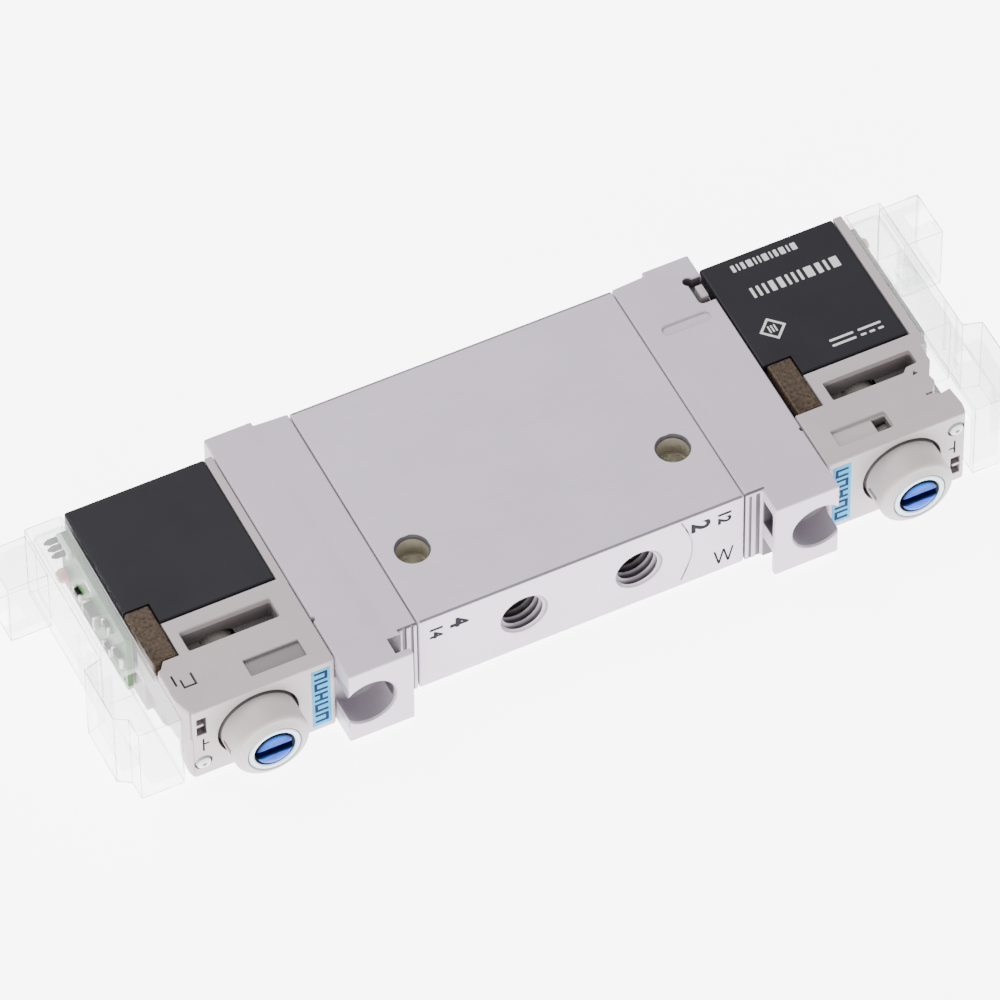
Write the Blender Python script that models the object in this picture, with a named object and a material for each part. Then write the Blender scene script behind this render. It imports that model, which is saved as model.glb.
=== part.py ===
"""Double-solenoid 5/2 directional valve, 10 mm wide, lying on one of its flat sides.

Lengths are in millimetres; finish_mesh() turns them into metres. X runs along the spool, the two
working ports face -Y, the supply and exhaust ports face +Y, and Z is the valve's thickness. The
origin is the middle of the body's lower flat side.

The two pilot units are the same part. One is modelled in the right unit's place, where +X points
away from the body. The left one is the same unit turned half round about the body's Y axis, so
its printed side faces down.
"""
import math

import bmesh
import bpy

MM = 0.001

# Clearances
SEAM = 0.3                  # between two pieces that lie against each other
RUNNING = 0.1               # radial, between a moving piece and its guide
PAST = 1.0                  # how far a cutter runs past the face it opens

# Valve body
BODY_LENGTH = 34.6
BODY_DEPTH = 28.8
THICKNESS = 10.0
PORT_PITCH = 6.15           # between neighbouring ports along the spool
PORT_RADIUS = 2.25          # M5 port
PORT_DEPTH = 6.2
PASSAGE_RADIUS = 1.3        # from a port down to the spool bore
MOUNT_HOLE_RADIUS = 1.6     # M3 clearance
MOUNT_HOLE_SPACING = 27.9
MOUNT_HOLE_SETBACK = 8.46   # from the working-port face
GALLERY_RADIUS = 0.5        # pilot air
GALLERY_SETBACK = 5.4       # from the working-port face
GALLERY_HEIGHT = 2.2
GALLERY_DEPTH = 5.0

# Spool and its seals
SPOOL_Y = 1.5
SPOOL_STROKE = 2.4
BORE_WALL = 0.9             # left outside the widest part of the bore
RECESS_STEP = 0.6           # recess at each port, deeper than the bore
RECESS_WIDTH = 3.0
SPOOL_CORE_RADIUS = 1.9
SPOOL_SEAL_WIDTH = 0.9
SEAL_OFFSET = 0.2           # of a seal's mid-stroke place from the middle of its land
SEAL_FLANGE_WIDTH = 0.4
SEAL_FLANGE_ROOM = 0.2      # flange inside its seal's outer radius
SEAL_DEPTH = 1.0            # radial section of a spool seal
SPOOL_END_MARGIN = 0.15     # spool end inside the body's end, at mid-stroke

# End adapter
ADAPTER_LENGTH = 8.5
FOOT_LENGTH = 6.9
FOOT_REACH = 2.95           # in front of the working-port face
ADAPTER_REACH = 0.8         # behind the supply-port face
ADAPTER_REAR_LENGTH = 5.0   # of the part that reaches that far
ADAPTER_STEP_REACH = 0.27   # just before it
ADAPTER_EDGE_REACH = 0.1    # and next to the body
FOOT_HOLE_INSET = 2.1       # from the adapter's outer face
COUNTERBORE_RADIUS = 2.75
COUNTERBORE_DEPTH = 3.3
FOOT_WINDOW_SETBACK = 0.2   # in front of the working-port face
FOOT_WINDOW_DEPTH = 1.3
FOOT_WINDOW_WIDTH = 2.0
FOOT_WINDOWS = ((-PAST, 3.0), (5.3, 8.6))   # heights
CHAMBER_DEPTH = 2.2
FACE_SEAL_WIDTH = 0.5
FACE_SEAL_THICKNESS = 0.6
GROOVE_INSET = 0.2          # from the foot's inner face
GROOVE_WIDTH = 1.3
GROOVE_LENGTH = 5.2
GROOVE_DEPTH = 0.3
GROOVE_SETBACK = 6.3        # from the supply-port face
NOTCH_WIDTH = 3.3
NOTCH_LENGTH = 1.6
NOTCH_DEPTH = 1.4
NOTCH_SETBACK = 2.1
SCREW_HEAD_RADIUS = 1.3
SCREW_HEAD_HEIGHT = 1.0
SCREW_SHANK_RADIUS = 0.6
SCREW_SOCKET_RADIUS = 0.6   # to a corner of the six
SCREW_SOCKET_DEPTH = 0.5
SCREW_LENGTH = 12.0
SCREW_INSET = 1.75          # from the nearer flat side
SCREW_SETBACK = 3.9         # from the body's front and rear faces

# Pilot unit: frame
PILOT_LENGTH = 15.6
FRAME_REACH = 0.25          # in front of the working-port face
FRAME_DEPTH = 11.25
FRAME_CORNER = (0.7, 2.4)   # slope at the outer front corner
INNER_WALL = 0.6
OUTER_WALL = 0.8
CHAMBER_ROOM = 0.8          # round the armature's tube
WINDOW_SETBACK = 7.05       # from the frame's front
WINDOW_WIDTH = 2.4
WINDOW_LENGTH = 9.5
WINDOW_DEPTH = 2.6
LABEL_INSET = 2.05          # from the frame's inner face
LABEL_SETBACK = 1.65
LABEL_WIDTH = 2.1
LABEL_LENGTH = 5.8
LABEL_DEPTH = 0.4
VENT_LENGTH = 1.5
VENT_DEPTH = 2.0
VENT_MARGIN = 0.2           # inside the label's long edges
WINDOW_INSET = 2.35         # from the frame's inner face on the lower side
WINDOW_INSET_TOP = 4.1      # and on the upper side
CATCH_HEIGHT = 4.3          # of the catch and its ear, down from the upper side
CATCH_DEPTH = 1.7           # into the frame's outer face
CATCH_SLOPE = 0.2           # depth at its rear end
CATCH_SPAN = (3.35, 5.25, 8.25)  # front, end of the floor and rear, from the frame's front
EAR_INSET = 0.5             # of the ear in front of the catch, from the frame's outer face
CLIP_SLOT_INSET = 1.2       # from the frame's outer face
CLIP_SLOT_WIDTH = 0.9
CLIP_SLOT_SPAN = (1.2, 3.7)  # heights
CLIP_SLOT_DEPTH = 1.2
PILOT_SEAL_THICKNESS = 0.4
PILOT_SEAL_SPAN = (1.65, 6.35)  # from the frame's front
PILOT_SEAL_EDGE = 1.5       # from each flat side

# Pilot unit: coil, magnet iron and armature
AXIS_OFFSET = 0.25          # of the armature's axis from the frame's middle
COIL_DEPTH = 16.1
JACKET_WALL = 0.6
JACKET_END_WALL = 1.2
BOBBIN_TUBE_WALL = 0.35
BOBBIN_FLANGE = 0.6
BOBBIN_NOSE = 5.3           # tube ahead of the coil
ARMATURE_RADIUS = 1.75
ARMATURE_LENGTH = 12.6
ARMATURE_STROKE = 0.5
ARMATURE_SETBACK = 0.8      # behind the tube's nose
PAD_RADIUS = 1.2
PAD_THICKNESS = 0.4
CORE_LENGTH = 5.8
SPRING_BORE_RADIUS = 1.1
SPRING_BORE_DEPTH = 3.2
ARMATURE_SPRING_RADIUS = 0.75
ARMATURE_SPRING_WIRE = 0.15
ARMATURE_SPRING_TURNS = 4
YOKE_THICKNESS = 0.8
YOKE_MARGIN = 1.3           # plate inside the frame's flat sides and its inner face
YOKE_OUTER_MARGIN = 0.9     # and inside its outer face
YOKE_TAB_WIDTH = 2.6
YOKE_TAB_LENGTH = 6.8
YOKE_TAB_BACK = 2.3         # tab behind the coil's front
YOKE_TAB_HEIGHT = 2.6

# Pilot unit: manual override
BOSS_RADIUS = 3.95
BOSS_REACH = 3.75
BOSS_CONE = 0.95
BOSS_RIM = 0.25             # flat ring round the plunger
BOSS_SINK = 0.6
BOSS_TAIL_WALL = 0.45
BOSS_TAIL_LENGTH = 3.2
BOSS_FLOOR = 0.6
PLUNGER_RADIUS = 2.75
PLUNGER_RIM = 0.6
PLUNGER_CUP_DEPTH = 1.3
PLUNGER_HEAD_LENGTH = 2.1
PLUNGER_STEM_RADIUS = 1.5
PLUNGER_LENGTH = 7.7
STUB_RADIUS = 0.75
STUB_LENGTH = 2.5
HEAD_PROUD = 0.12           # head ahead of the plunger's rim
HEAD_CHAMFER = 0.15
SLOT_WIDTH = 1.1
SLOT_DEPTH = 0.8
OVERRIDE_STROKE = 1.2
OVERRIDE_SPRING_WIRE = 0.2
OVERRIDE_SPRING_TURNS = 3

# Pilot unit: electrical end
COVER_LENGTH = 4.0
COVER_REACH = 0.1           # in front of the frame's front
COVER_DEPTH = 27.65
COVER_WALL = 0.7
COVER_NOSE_LENGTH = 1.9
COVER_NOSE_SLOPES = (0.8, 0.5)  # at its front and its rear
COVER_STEP = 0.63           # of the cover's front corner past its outer face
COVER_NOSE_START = 2.15     # from the cover's front
COVER_NOSE_DEPTH = 8.0
SOCKET_LENGTH = 4.2
SOCKET_OUTER = (5.5, 8.0)
SOCKET_WALL = 0.5
BOARD_THICKNESS = 0.6
BOARD_DEPTH = 15.0
BOARD_MARGIN = 1.1          # inside the flat sides
PIN_SIZE = 0.5
PIN_LENGTH = 1.8
PIN_PITCH = 0.9
PIN_MARGIN = 0.05           # inside the board's rear edge
PIN_HEIGHT = 1.8
LED_SIZE = (1.0, 1.6, 1.6)
LED_OFFSET = 0.1            # from the board's rear edge
LED_HEIGHT = 6.8

# Places that follow from the sizes above
MID = THICKNESS / 2
FRONT = -BODY_DEPTH / 2
REAR = BODY_DEPTH / 2
BODY_END = BODY_LENGTH / 2
ADAPTER_START = BODY_END + SEAM
ADAPTER_END = ADAPTER_START + ADAPTER_LENGTH
FOOT_START = ADAPTER_END - FOOT_LENGTH
FOOT_FRONT = FRONT - FOOT_REACH
FOOT_HOLE_X = ADAPTER_END - FOOT_HOLE_INSET
PILOT_START = ADAPTER_END + SEAM
PILOT_END = PILOT_START + PILOT_LENGTH
FRAME_FRONT = FRONT - FRAME_REACH
FRAME_REAR = FRAME_FRONT + FRAME_DEPTH
AXIS_X = (PILOT_START + PILOT_END) / 2 + AXIS_OFFSET
COIL_FRONT = FRAME_REAR + SEAM
COIL_REAR = COIL_FRONT + COIL_DEPTH
COVER_START = PILOT_END + SEAM
COVER_FACE = COVER_START + COVER_LENGTH
COVER_FRONT = FRAME_FRONT - COVER_REACH
COVER_REAR = COVER_FRONT + COVER_DEPTH
RECESS_RADIUS = MID - BORE_WALL
BORE_RADIUS = RECESS_RADIUS - RECESS_STEP
SEAL_RADIUS = BORE_RADIUS - RUNNING
SPOOL_HALF = BODY_END - SPOOL_END_MARGIN
TUBE_BORE = ARMATURE_RADIUS + RUNNING
TUBE_RADIUS = TUBE_BORE + BOBBIN_TUBE_WALL
TUBE_NOSE = COIL_FRONT - BOBBIN_NOSE
CHAMBER_RADIUS = TUBE_RADIUS + CHAMBER_ROOM
JACKET_RADIUS = MID - JACKET_WALL
BOBBIN_RADIUS = JACKET_RADIUS - SEAM
BOBBIN_START = COIL_FRONT + SEAM
BOBBIN_END = COIL_REAR - JACKET_END_WALL - SEAM
ARMATURE_START = TUBE_NOSE + ARMATURE_SETBACK
ARMATURE_END = ARMATURE_START + ARMATURE_LENGTH
CORE_START = ARMATURE_END + ARMATURE_STROKE + RUNNING
BOSS_FRONT = FRAME_FRONT - BOSS_REACH
BOSS_BACK = FRAME_FRONT + BOSS_SINK - SEAM
TAIL_END = BOSS_BACK + BOSS_TAIL_LENGTH
PLUNGER_BORE = PLUNGER_RADIUS + RUNNING
BOSS_TAIL_RADIUS = PLUNGER_BORE + BOSS_TAIL_WALL
CUP_RADIUS = PLUNGER_RADIUS - PLUNGER_RIM
HEAD_RADIUS = CUP_RADIUS - RUNNING
CUP_FLOOR = BOSS_FRONT + PLUNGER_CUP_DEPTH
HEAD_BACK = CUP_FLOOR - RUNNING
BOARD_START = PILOT_END + SEAM
BOARD_REAR = COVER_REAR - COVER_WALL - SEAM
SCREW_PLACES = ((REAR - SCREW_SETBACK, SCREW_INSET), (FRONT + SCREW_SETBACK, THICKNESS - SCREW_INSET))


# ---------------------------------------------------------------- shapes

def new_mesh(name, vertices, faces):
    """A mesh from its corners and faces, with the faces turned outwards."""
    mesh = bpy.data.meshes.new(name)
    mesh.from_pydata(vertices, [], faces)
    shape = bmesh.new()
    shape.from_mesh(mesh)
    bmesh.ops.recalc_face_normals(shape, faces=shape.faces)
    shape.to_mesh(mesh)
    shape.free()
    return mesh


def block(low, high):
    """A box between two corners."""
    x0, y0, z0 = low
    x1, y1, z1 = high
    return prism([(x0, y0), (x1, y0), (x1, y1), (x0, y1)], "Z", z0, z1)


def prism(outline, axis, low, high):
    """An outline, in the plane across an axis, extruded along it."""
    def at(point, along):
        first, second = point
        if axis == "X":
            return (along, first, second)
        if axis == "Y":
            return (first, along, second)
        return (first, second, along)

    count = len(outline)
    vertices = [at(point, low) for point in outline] + [at(point, high) for point in outline]
    faces = [tuple(range(count)), tuple(range(count, 2 * count))]
    for index in range(count):
        after = (index + 1) % count
        faces.append((index, after, count + after, count + index))
    return new_mesh("prism", vertices, faces)


def turned(profile, axis, centre, sides=24, ring=False):
    """A profile of (along, radius) points turned about an axis.

    An open profile starts and ends on the axis. A ring's profile is a loop that stays clear of it.
    """
    vertices = []
    rows = []
    for along, radius in profile:
        if radius == 0:
            rows.append([len(vertices)])
            angles = [0.0]
        else:
            rows.append(list(range(len(vertices), len(vertices) + sides)))
            angles = [2 * math.pi * step / sides for step in range(sides)]
        for angle in angles:
            across = radius * math.cos(angle)
            up = radius * math.sin(angle)
            if axis == "X":
                vertices.append((along, centre[0] + across, centre[1] + up))
            elif axis == "Y":
                vertices.append((centre[0] + across, along, centre[1] + up))
            else:
                vertices.append((centre[0] + across, centre[1] + up, along))
    pairs = list(zip(rows, rows[1:]))
    if ring:
        pairs.append((rows[-1], rows[0]))
    faces = []
    for first, second in pairs:
        for step in range(sides):
            after = (step + 1) % sides
            if len(first) == 1:
                faces.append((first[0], second[step], second[after]))
            elif len(second) == 1:
                faces.append((first[step], second[0], first[after]))
            else:
                faces.append((first[step], second[step], second[after], first[after]))
    return new_mesh("turned", vertices, faces)


def rod(axis, centre, radius, low, high, sides=24):
    return turned([(low, 0), (low, radius), (high, radius), (high, 0)], axis, centre, sides)


def tube(axis, centre, inner, outer, low, high, sides=24):
    profile = [(low, inner), (low, outer), (high, outer), (high, inner)]
    return turned(profile, axis, centre, sides, ring=True)


def coil_spring(centre, radius, wire, low, high, turns, steps, sides=4):
    """A round wire wound about a line along Y, with flat wire ends."""
    start = low + wire
    pitch = (high - low - 2 * wire) / turns
    vertices = []
    for step in range(turns * steps + 1):
        angle = 2 * math.pi * step / steps
        along = start + pitch * step / steps
        for side in range(sides):
            turn = 2 * math.pi * side / sides
            reach = radius + wire * math.cos(turn)
            vertices.append((centre[0] + reach * math.cos(angle),
                             along + wire * math.sin(turn),
                             centre[1] + reach * math.sin(angle)))
    last = turns * steps * sides
    faces = [tuple(range(sides)), tuple(range(last, last + sides))]
    for step in range(turns * steps):
        for side in range(sides):
            after = (side + 1) % sides
            first = step * sides
            second = first + sides
            faces.append((first + side, first + after, second + after, second + side))
    return new_mesh("coil_spring", vertices, faces)


def carved(blank, cuts=(), additions=()):
    """The blank joined with the additions and then cut."""
    body = bpy.data.objects.new("blank", blank)
    bpy.context.scene.collection.objects.link(body)
    helpers = []
    for operation, meshes in (("UNION", additions), ("DIFFERENCE", cuts)):
        for mesh in meshes:
            helper = bpy.data.objects.new("helper", mesh)
            bpy.context.scene.collection.objects.link(helper)
            modifier = body.modifiers.new(operation.lower(), "BOOLEAN")
            modifier.operation = operation
            modifier.solver = "EXACT"
            modifier.object = helper
            helpers.append(helper)
    bpy.context.view_layer.update()
    graph = bpy.context.evaluated_depsgraph_get()
    result = bpy.data.meshes.new_from_object(body.evaluated_get(graph))
    for item in [body] + helpers:
        bpy.data.objects.remove(item)
    return result


def finish_mesh(mesh, name, pivot=(0, 0, 0)):
    """Move the mesh to its pivot, turn it into metres and shade its round faces smooth."""
    mesh.name = name
    for vertex in mesh.vertices:
        for index in range(3):
            vertex.co[index] = (vertex.co[index] - pivot[index]) * MM
    mesh.shade_smooth()
    mesh.set_sharp_from_angle(angle=math.radians(30))
    return mesh


# ---------------------------------------------------------------- finishes and placing

def finish(name, colour, roughness, metallic=0.0, alpha=1.0):
    material = bpy.data.materials.new(name)
    material.use_nodes = True
    shader = material.node_tree.nodes["Principled BSDF"]
    shader.inputs["Base Color"].default_value = (*colour, 1.0)
    shader.inputs["Roughness"].default_value = roughness
    shader.inputs["Metallic"].default_value = metallic
    shader.inputs["Alpha"].default_value = alpha
    material.diffuse_color = (*colour, alpha)
    return material


def place(name, mesh, material, pivot=(0, 0, 0), parent=None):
    piece = bpy.data.objects.new(name, mesh)
    bpy.context.scene.collection.objects.link(piece)
    piece.location = [value * MM for value in pivot]
    piece.parent = parent
    if not mesh.materials:
        mesh.materials.append(None)
    piece.material_slots[0].link = "OBJECT"
    piece.material_slots[0].material = material
    return piece


def place_pair(name, mesh, material, units, pivot=(0, 0, 0)):
    """Put one finished mesh into both pilot units, each with a material of its own."""
    finished = finish_mesh(mesh, name, pivot)
    for side, unit in units.items():
        own = material.copy()
        own.name = f"{side}_{name}_{material.name}"
        place(f"{side}_{name}", finished, own, pivot, unit)


# ---------------------------------------------------------------- valve body and spool

def port_hole(x, face, inward):
    """Cutter for a port: the threaded hole and its narrower passage down to the spool bore."""
    bottom = face + inward * PORT_DEPTH
    profile = [(face - inward * PAST, 0), (face - inward * PAST, PORT_RADIUS), (bottom, PORT_RADIUS),
               (bottom, PASSAGE_RADIUS), (SPOOL_Y, PASSAGE_RADIUS), (SPOOL_Y, 0)]
    return turned(profile, "Y", (x, MID))


def spool_bore():
    """Cutter for the bore, with a wider recess at each of the five ports."""
    end = BODY_END + PAST
    profile = [(-end, 0), (-end, BORE_RADIUS)]
    for place_number in range(-2, 3):
        middle = place_number * PORT_PITCH
        low = middle - RECESS_WIDTH / 2
        high = middle + RECESS_WIDTH / 2
        profile += [(low, BORE_RADIUS), (low, RECESS_RADIUS), (high, RECESS_RADIUS), (high, BORE_RADIUS)]
    profile += [(end, BORE_RADIUS), (end, 0)]
    return turned(profile, "X", (SPOOL_Y, MID))


def both_ends(y, z, radius, depth):
    """Cutters for a hole into the right end and its half-turned copy in the left end."""
    return [rod("X", (y, z), radius, BODY_END - depth, BODY_END + PAST, 16),
            rod("X", (y, THICKNESS - z), radius, -BODY_END - PAST, -BODY_END + depth, 16)]


def valve_body():
    cuts = [spool_bore()]
    cuts += [port_hole(side * PORT_PITCH, FRONT, 1) for side in (-1, 1)]
    cuts += [port_hole(side * 2 * PORT_PITCH, REAR, -1) for side in (-1, 0, 1)]
    for side in (-1, 1):
        place_xy = (side * MOUNT_HOLE_SPACING / 2, FRONT + MOUNT_HOLE_SETBACK)
        cuts.append(rod("Z", place_xy, MOUNT_HOLE_RADIUS, -PAST, THICKNESS + PAST))
    for y, z in SCREW_PLACES:
        cuts += both_ends(y, z, SCREW_SHANK_RADIUS + SEAM, screw_reach() + SEAM)
    cuts += both_ends(FRONT + GALLERY_SETBACK, GALLERY_HEIGHT, GALLERY_RADIUS, GALLERY_DEPTH)
    return carved(block((-BODY_END, FRONT, 0), (BODY_END, REAR, THICKNESS)), cuts)


def seal_places():
    """Middle of each spool seal at mid-stroke.

    Each inner seal lies on the land between two ports at one end of the stroke, and stands in a
    port's recess at the other. The outer pair keeps the exhaust ports from the pilot air.
    """
    shift = SPOOL_STROKE / 2
    near = PORT_PITCH / 2 + SEAL_OFFSET - shift
    far = PORT_PITCH * 3 / 2 - SEAL_OFFSET + shift
    outer = BODY_END - SPOOL_END_MARGIN - SEAL_FLANGE_WIDTH - SEAM / 2 - SPOOL_SEAL_WIDTH / 2 - shift
    return [-outer, -far, -near, near, far, outer]


def spool():
    """Turned spool: a core with a pair of flanges round each seal."""
    half = SPOOL_SEAL_WIDTH / 2 + SEAM / 2
    flange = SEAL_RADIUS - SEAL_FLANGE_ROOM
    end = SPOOL_HALF - SPOOL_STROKE / 2
    profile = [(-end, 0), (-end, SPOOL_CORE_RADIUS)]
    for middle in seal_places():
        for low, high in ((middle - half - SEAL_FLANGE_WIDTH, middle - half),
                          (middle + half, middle + half + SEAL_FLANGE_WIDTH)):
            if low <= -end:
                profile = [(low, 0), (low, flange), (high, flange), (high, SPOOL_CORE_RADIUS)]
                continue
            profile += [(low, SPOOL_CORE_RADIUS), (low, flange), (high, flange)]
            if high < end:
                profile.append((high, SPOOL_CORE_RADIUS))
    last = profile[-1][0]
    profile.append((last, 0))
    return turned(profile, "X", (SPOOL_Y, MID))


def spool_seal(middle):
    half = SPOOL_SEAL_WIDTH / 2
    inner = SEAL_RADIUS - SEAL_DEPTH
    bevel = SPOOL_SEAL_WIDTH / 4
    profile = [(middle - half, inner), (middle - half, SEAL_RADIUS - bevel), (middle - bevel, SEAL_RADIUS),
               (middle + bevel, SEAL_RADIUS), (middle + half, SEAL_RADIUS - bevel), (middle + half, inner)]
    return turned(profile, "X", (SPOOL_Y, MID), ring=True)


# ---------------------------------------------------------------- end adapter

def screw_reach():
    """How far an adapter screw runs into the body."""
    return SCREW_LENGTH + SCREW_HEAD_HEIGHT - ADAPTER_LENGTH - SEAM


def adapter_screw(y, z):
    head_top = ADAPTER_END
    seat = head_top - SCREW_HEAD_HEIGHT
    profile = [(seat - SCREW_LENGTH, 0), (seat - SCREW_LENGTH, SCREW_SHANK_RADIUS),
               (seat, SCREW_SHANK_RADIUS), (seat, SCREW_HEAD_RADIUS), (head_top, SCREW_HEAD_RADIUS),
               (head_top, 0.0)]
    socket = rod("X", (y, z), SCREW_SOCKET_RADIUS, head_top - SCREW_SOCKET_DEPTH, head_top + PAST, 6)
    return carved(turned(profile, "X", (y, z), 20), [socket])


def face_seal():
    """Ring between the body's end and the adapter, round the pilot chamber."""
    inner = BORE_RADIUS + SEAM
    return tube("X", (SPOOL_Y, MID), inner, inner + FACE_SEAL_WIDTH, ADAPTER_START,
                ADAPTER_START + FACE_SEAL_THICKNESS)


def end_adapter():
    rear_start = ADAPTER_END - ADAPTER_REAR_LENGTH
    outline = [(ADAPTER_START, FRONT), (FOOT_START, FRONT), (FOOT_START, FOOT_FRONT),
               (ADAPTER_END, FOOT_FRONT), (ADAPTER_END, REAR + ADAPTER_REACH),
               (rear_start, REAR + ADAPTER_REACH),
               (rear_start, REAR + ADAPTER_STEP_REACH), (ADAPTER_START, REAR + ADAPTER_EDGE_REACH)]
    seal_outer = BORE_RADIUS + FACE_SEAL_WIDTH + 2 * SEAM
    seal_floor = ADAPTER_START + FACE_SEAL_THICKNESS + SEAM
    chamber = [(ADAPTER_START - PAST, 0), (ADAPTER_START - PAST, seal_outer), (seal_floor, seal_outer),
               (seal_floor, BORE_RADIUS), (ADAPTER_START + CHAMBER_DEPTH, BORE_RADIUS),
               (ADAPTER_START + CHAMBER_DEPTH, 0)]
    foot_hole = [(FOOT_FRONT - PAST, 0), (FOOT_FRONT - PAST, COUNTERBORE_RADIUS),
                 (FOOT_FRONT + COUNTERBORE_DEPTH, COUNTERBORE_RADIUS),
                 (FOOT_FRONT + COUNTERBORE_DEPTH, MOUNT_HOLE_RADIUS),
                 (REAR + ADAPTER_REACH + PAST, MOUNT_HOLE_RADIUS), (REAR + ADAPTER_REACH + PAST, 0)]
    cuts = [turned(chamber, "X", (SPOOL_Y, MID)), turned(foot_hole, "Y", (FOOT_HOLE_X, MID))]
    window_rear = FRONT - FOOT_WINDOW_SETBACK
    for low, high in FOOT_WINDOWS:
        cuts.append(block((FOOT_START - PAST, window_rear - FOOT_WINDOW_WIDTH, low),
                          (FOOT_START + FOOT_WINDOW_DEPTH, window_rear, high)))
    cuts.append(rod("X", (FRONT + GALLERY_SETBACK, GALLERY_HEIGHT), GALLERY_RADIUS,
                    ADAPTER_START - PAST, ADAPTER_END + PAST, 16))
    for y, z in SCREW_PLACES:
        shank = SCREW_SHANK_RADIUS + SEAM
        seat = ADAPTER_END - SCREW_HEAD_HEIGHT - SEAM
        hole = [(ADAPTER_START - PAST, 0), (ADAPTER_START - PAST, shank), (seat, shank),
                (seat, SCREW_HEAD_RADIUS + RUNNING), (ADAPTER_END + PAST, SCREW_HEAD_RADIUS + RUNNING),
                (ADAPTER_END + PAST, 0)]
        cuts.append(turned(hole, "X", (y, z), 20))
    groove_start = FOOT_START + GROOVE_INSET
    groove_rear = REAR - GROOVE_SETBACK
    cuts.append(block((groove_start, groove_rear - GROOVE_WIDTH, THICKNESS - GROOVE_DEPTH),
                      (groove_start + GROOVE_LENGTH, groove_rear, THICKNESS + PAST)))
    notch_rear = REAR - NOTCH_SETBACK
    cuts.append(block((ADAPTER_END - NOTCH_LENGTH, notch_rear - NOTCH_WIDTH, THICKNESS - NOTCH_DEPTH),
                      (ADAPTER_END + PAST, notch_rear, THICKNESS + PAST)))
    return carved(prism(outline, "Z", 0, THICKNESS), cuts)


# ---------------------------------------------------------------- pilot frame and magnet

def coil_spans():
    """X span of the coil's lower and upper halves, which step sideways past the frame's walls."""
    lower = (PILOT_START + INNER_WALL + SEAM, PILOT_END)
    upper = (PILOT_START, PILOT_END - OUTER_WALL - SEAM)
    return lower, upper


def yoke_tabs(room=0.0):
    """The yoke's two flat legs: outer end on the lower side, inner end on the upper side."""
    y0 = COIL_FRONT + YOKE_TAB_BACK - YOKE_TAB_LENGTH - room
    y1 = COIL_FRONT + YOKE_TAB_BACK + room
    lower = ((PILOT_END - YOKE_TAB_WIDTH - room, y0, -PAST if room else 0.0),
             (PILOT_END + (PAST if room else 0.0), y1, YOKE_TAB_HEIGHT + room))
    upper = ((PILOT_START + SEAM - (PAST if room else 0.0), y0, THICKNESS - YOKE_TAB_HEIGHT - room),
             (PILOT_START + SEAM + YOKE_TAB_WIDTH + room, y1, THICKNESS + (PAST if room else 0.0)))
    return lower, upper


def yoke_plate(room=0.0):
    """The yoke's flat plate across the coil's front."""
    rear = FRAME_REAR - SEAM + (PAST if room else 0.0)
    front = FRAME_REAR - SEAM - YOKE_THICKNESS - room
    return ((PILOT_START + YOKE_MARGIN - room, front, YOKE_MARGIN - room),
            (PILOT_END - YOKE_OUTER_MARGIN + room, rear, THICKNESS - YOKE_MARGIN + room))


def flux_yoke():
    tabs = [block(*corners) for corners in yoke_tabs()]
    hole = rod("Y", (AXIS_X, MID), TUBE_RADIUS + SEAM, FRAME_FRONT, COIL_FRONT)
    return carved(block(*yoke_plate()), [hole], tabs)


def pilot_frame():
    slope_x, slope_y = FRAME_CORNER
    outline = [(PILOT_START, FRAME_FRONT), (PILOT_END - slope_x, FRAME_FRONT),
               (PILOT_END, FRAME_FRONT + slope_y), (PILOT_END, FRAME_REAR), (PILOT_START, FRAME_REAR)]
    overlap = FRAME_REAR - PAST
    inner_wall = block((PILOT_START, overlap, 0), (PILOT_START + INNER_WALL, COIL_REAR, MID - SEAM / 2))
    outer_wall = block((PILOT_END - OUTER_WALL, overlap, MID + SEAM / 2), (PILOT_END, COIL_REAR, THICKNESS))
    bore = [(FRAME_FRONT - PAST, 0), (FRAME_FRONT - PAST, BOSS_RADIUS + SEAM),
            (FRAME_FRONT + BOSS_SINK, BOSS_RADIUS + SEAM),
            (FRAME_FRONT + BOSS_SINK, BOSS_TAIL_RADIUS + SEAM),
            (TAIL_END + SEAM, BOSS_TAIL_RADIUS + SEAM), (TAIL_END + SEAM, CHAMBER_RADIUS),
            (FRAME_REAR + PAST, CHAMBER_RADIUS), (FRAME_REAR + PAST, 0)]
    cuts = [turned(bore, "Y", (AXIS_X, MID))]
    cuts += [block(*corners) for corners in yoke_tabs(SEAM)]
    cuts.append(block(*yoke_plate(SEAM)))
    window = (FRAME_FRONT + WINDOW_SETBACK, FRAME_FRONT + WINDOW_SETBACK + WINDOW_WIDTH)
    label = (FRAME_FRONT + LABEL_SETBACK, FRAME_FRONT + LABEL_SETBACK + LABEL_WIDTH)
    for inset, low, high in ((WINDOW_INSET, -PAST, WINDOW_DEPTH),
                             (WINDOW_INSET_TOP, THICKNESS - WINDOW_DEPTH, THICKNESS + PAST)):
        start = PILOT_START + inset
        cuts.append(block((start, window[0], low), (start + WINDOW_LENGTH, window[1], high)))
    label_start = PILOT_START + LABEL_INSET
    label_end = label_start + LABEL_LENGTH
    for low, high in ((-PAST, LABEL_DEPTH), (THICKNESS - LABEL_DEPTH, THICKNESS + PAST)):
        cuts.append(block((label_start, label[0], low), (label_end, label[1], high)))
    cuts.append(block((label_end - VENT_LENGTH, label[0] + VENT_MARGIN, THICKNESS - VENT_DEPTH),
                      (label_end, label[1] - VENT_MARGIN, THICKNESS + PAST)))
    cuts.append(pilot_seal_block(SEAM))
    cuts.append(frame_catch())
    slot_x = PILOT_END - CLIP_SLOT_INSET
    cuts.append(block((slot_x - CLIP_SLOT_WIDTH, FRAME_FRONT - PAST, CLIP_SLOT_SPAN[0]),
                      (slot_x, FRAME_FRONT + CLIP_SLOT_DEPTH, CLIP_SLOT_SPAN[1])))
    return carved(prism(outline, "Z", 0, THICKNESS), cuts, [inner_wall, outer_wall])


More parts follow.
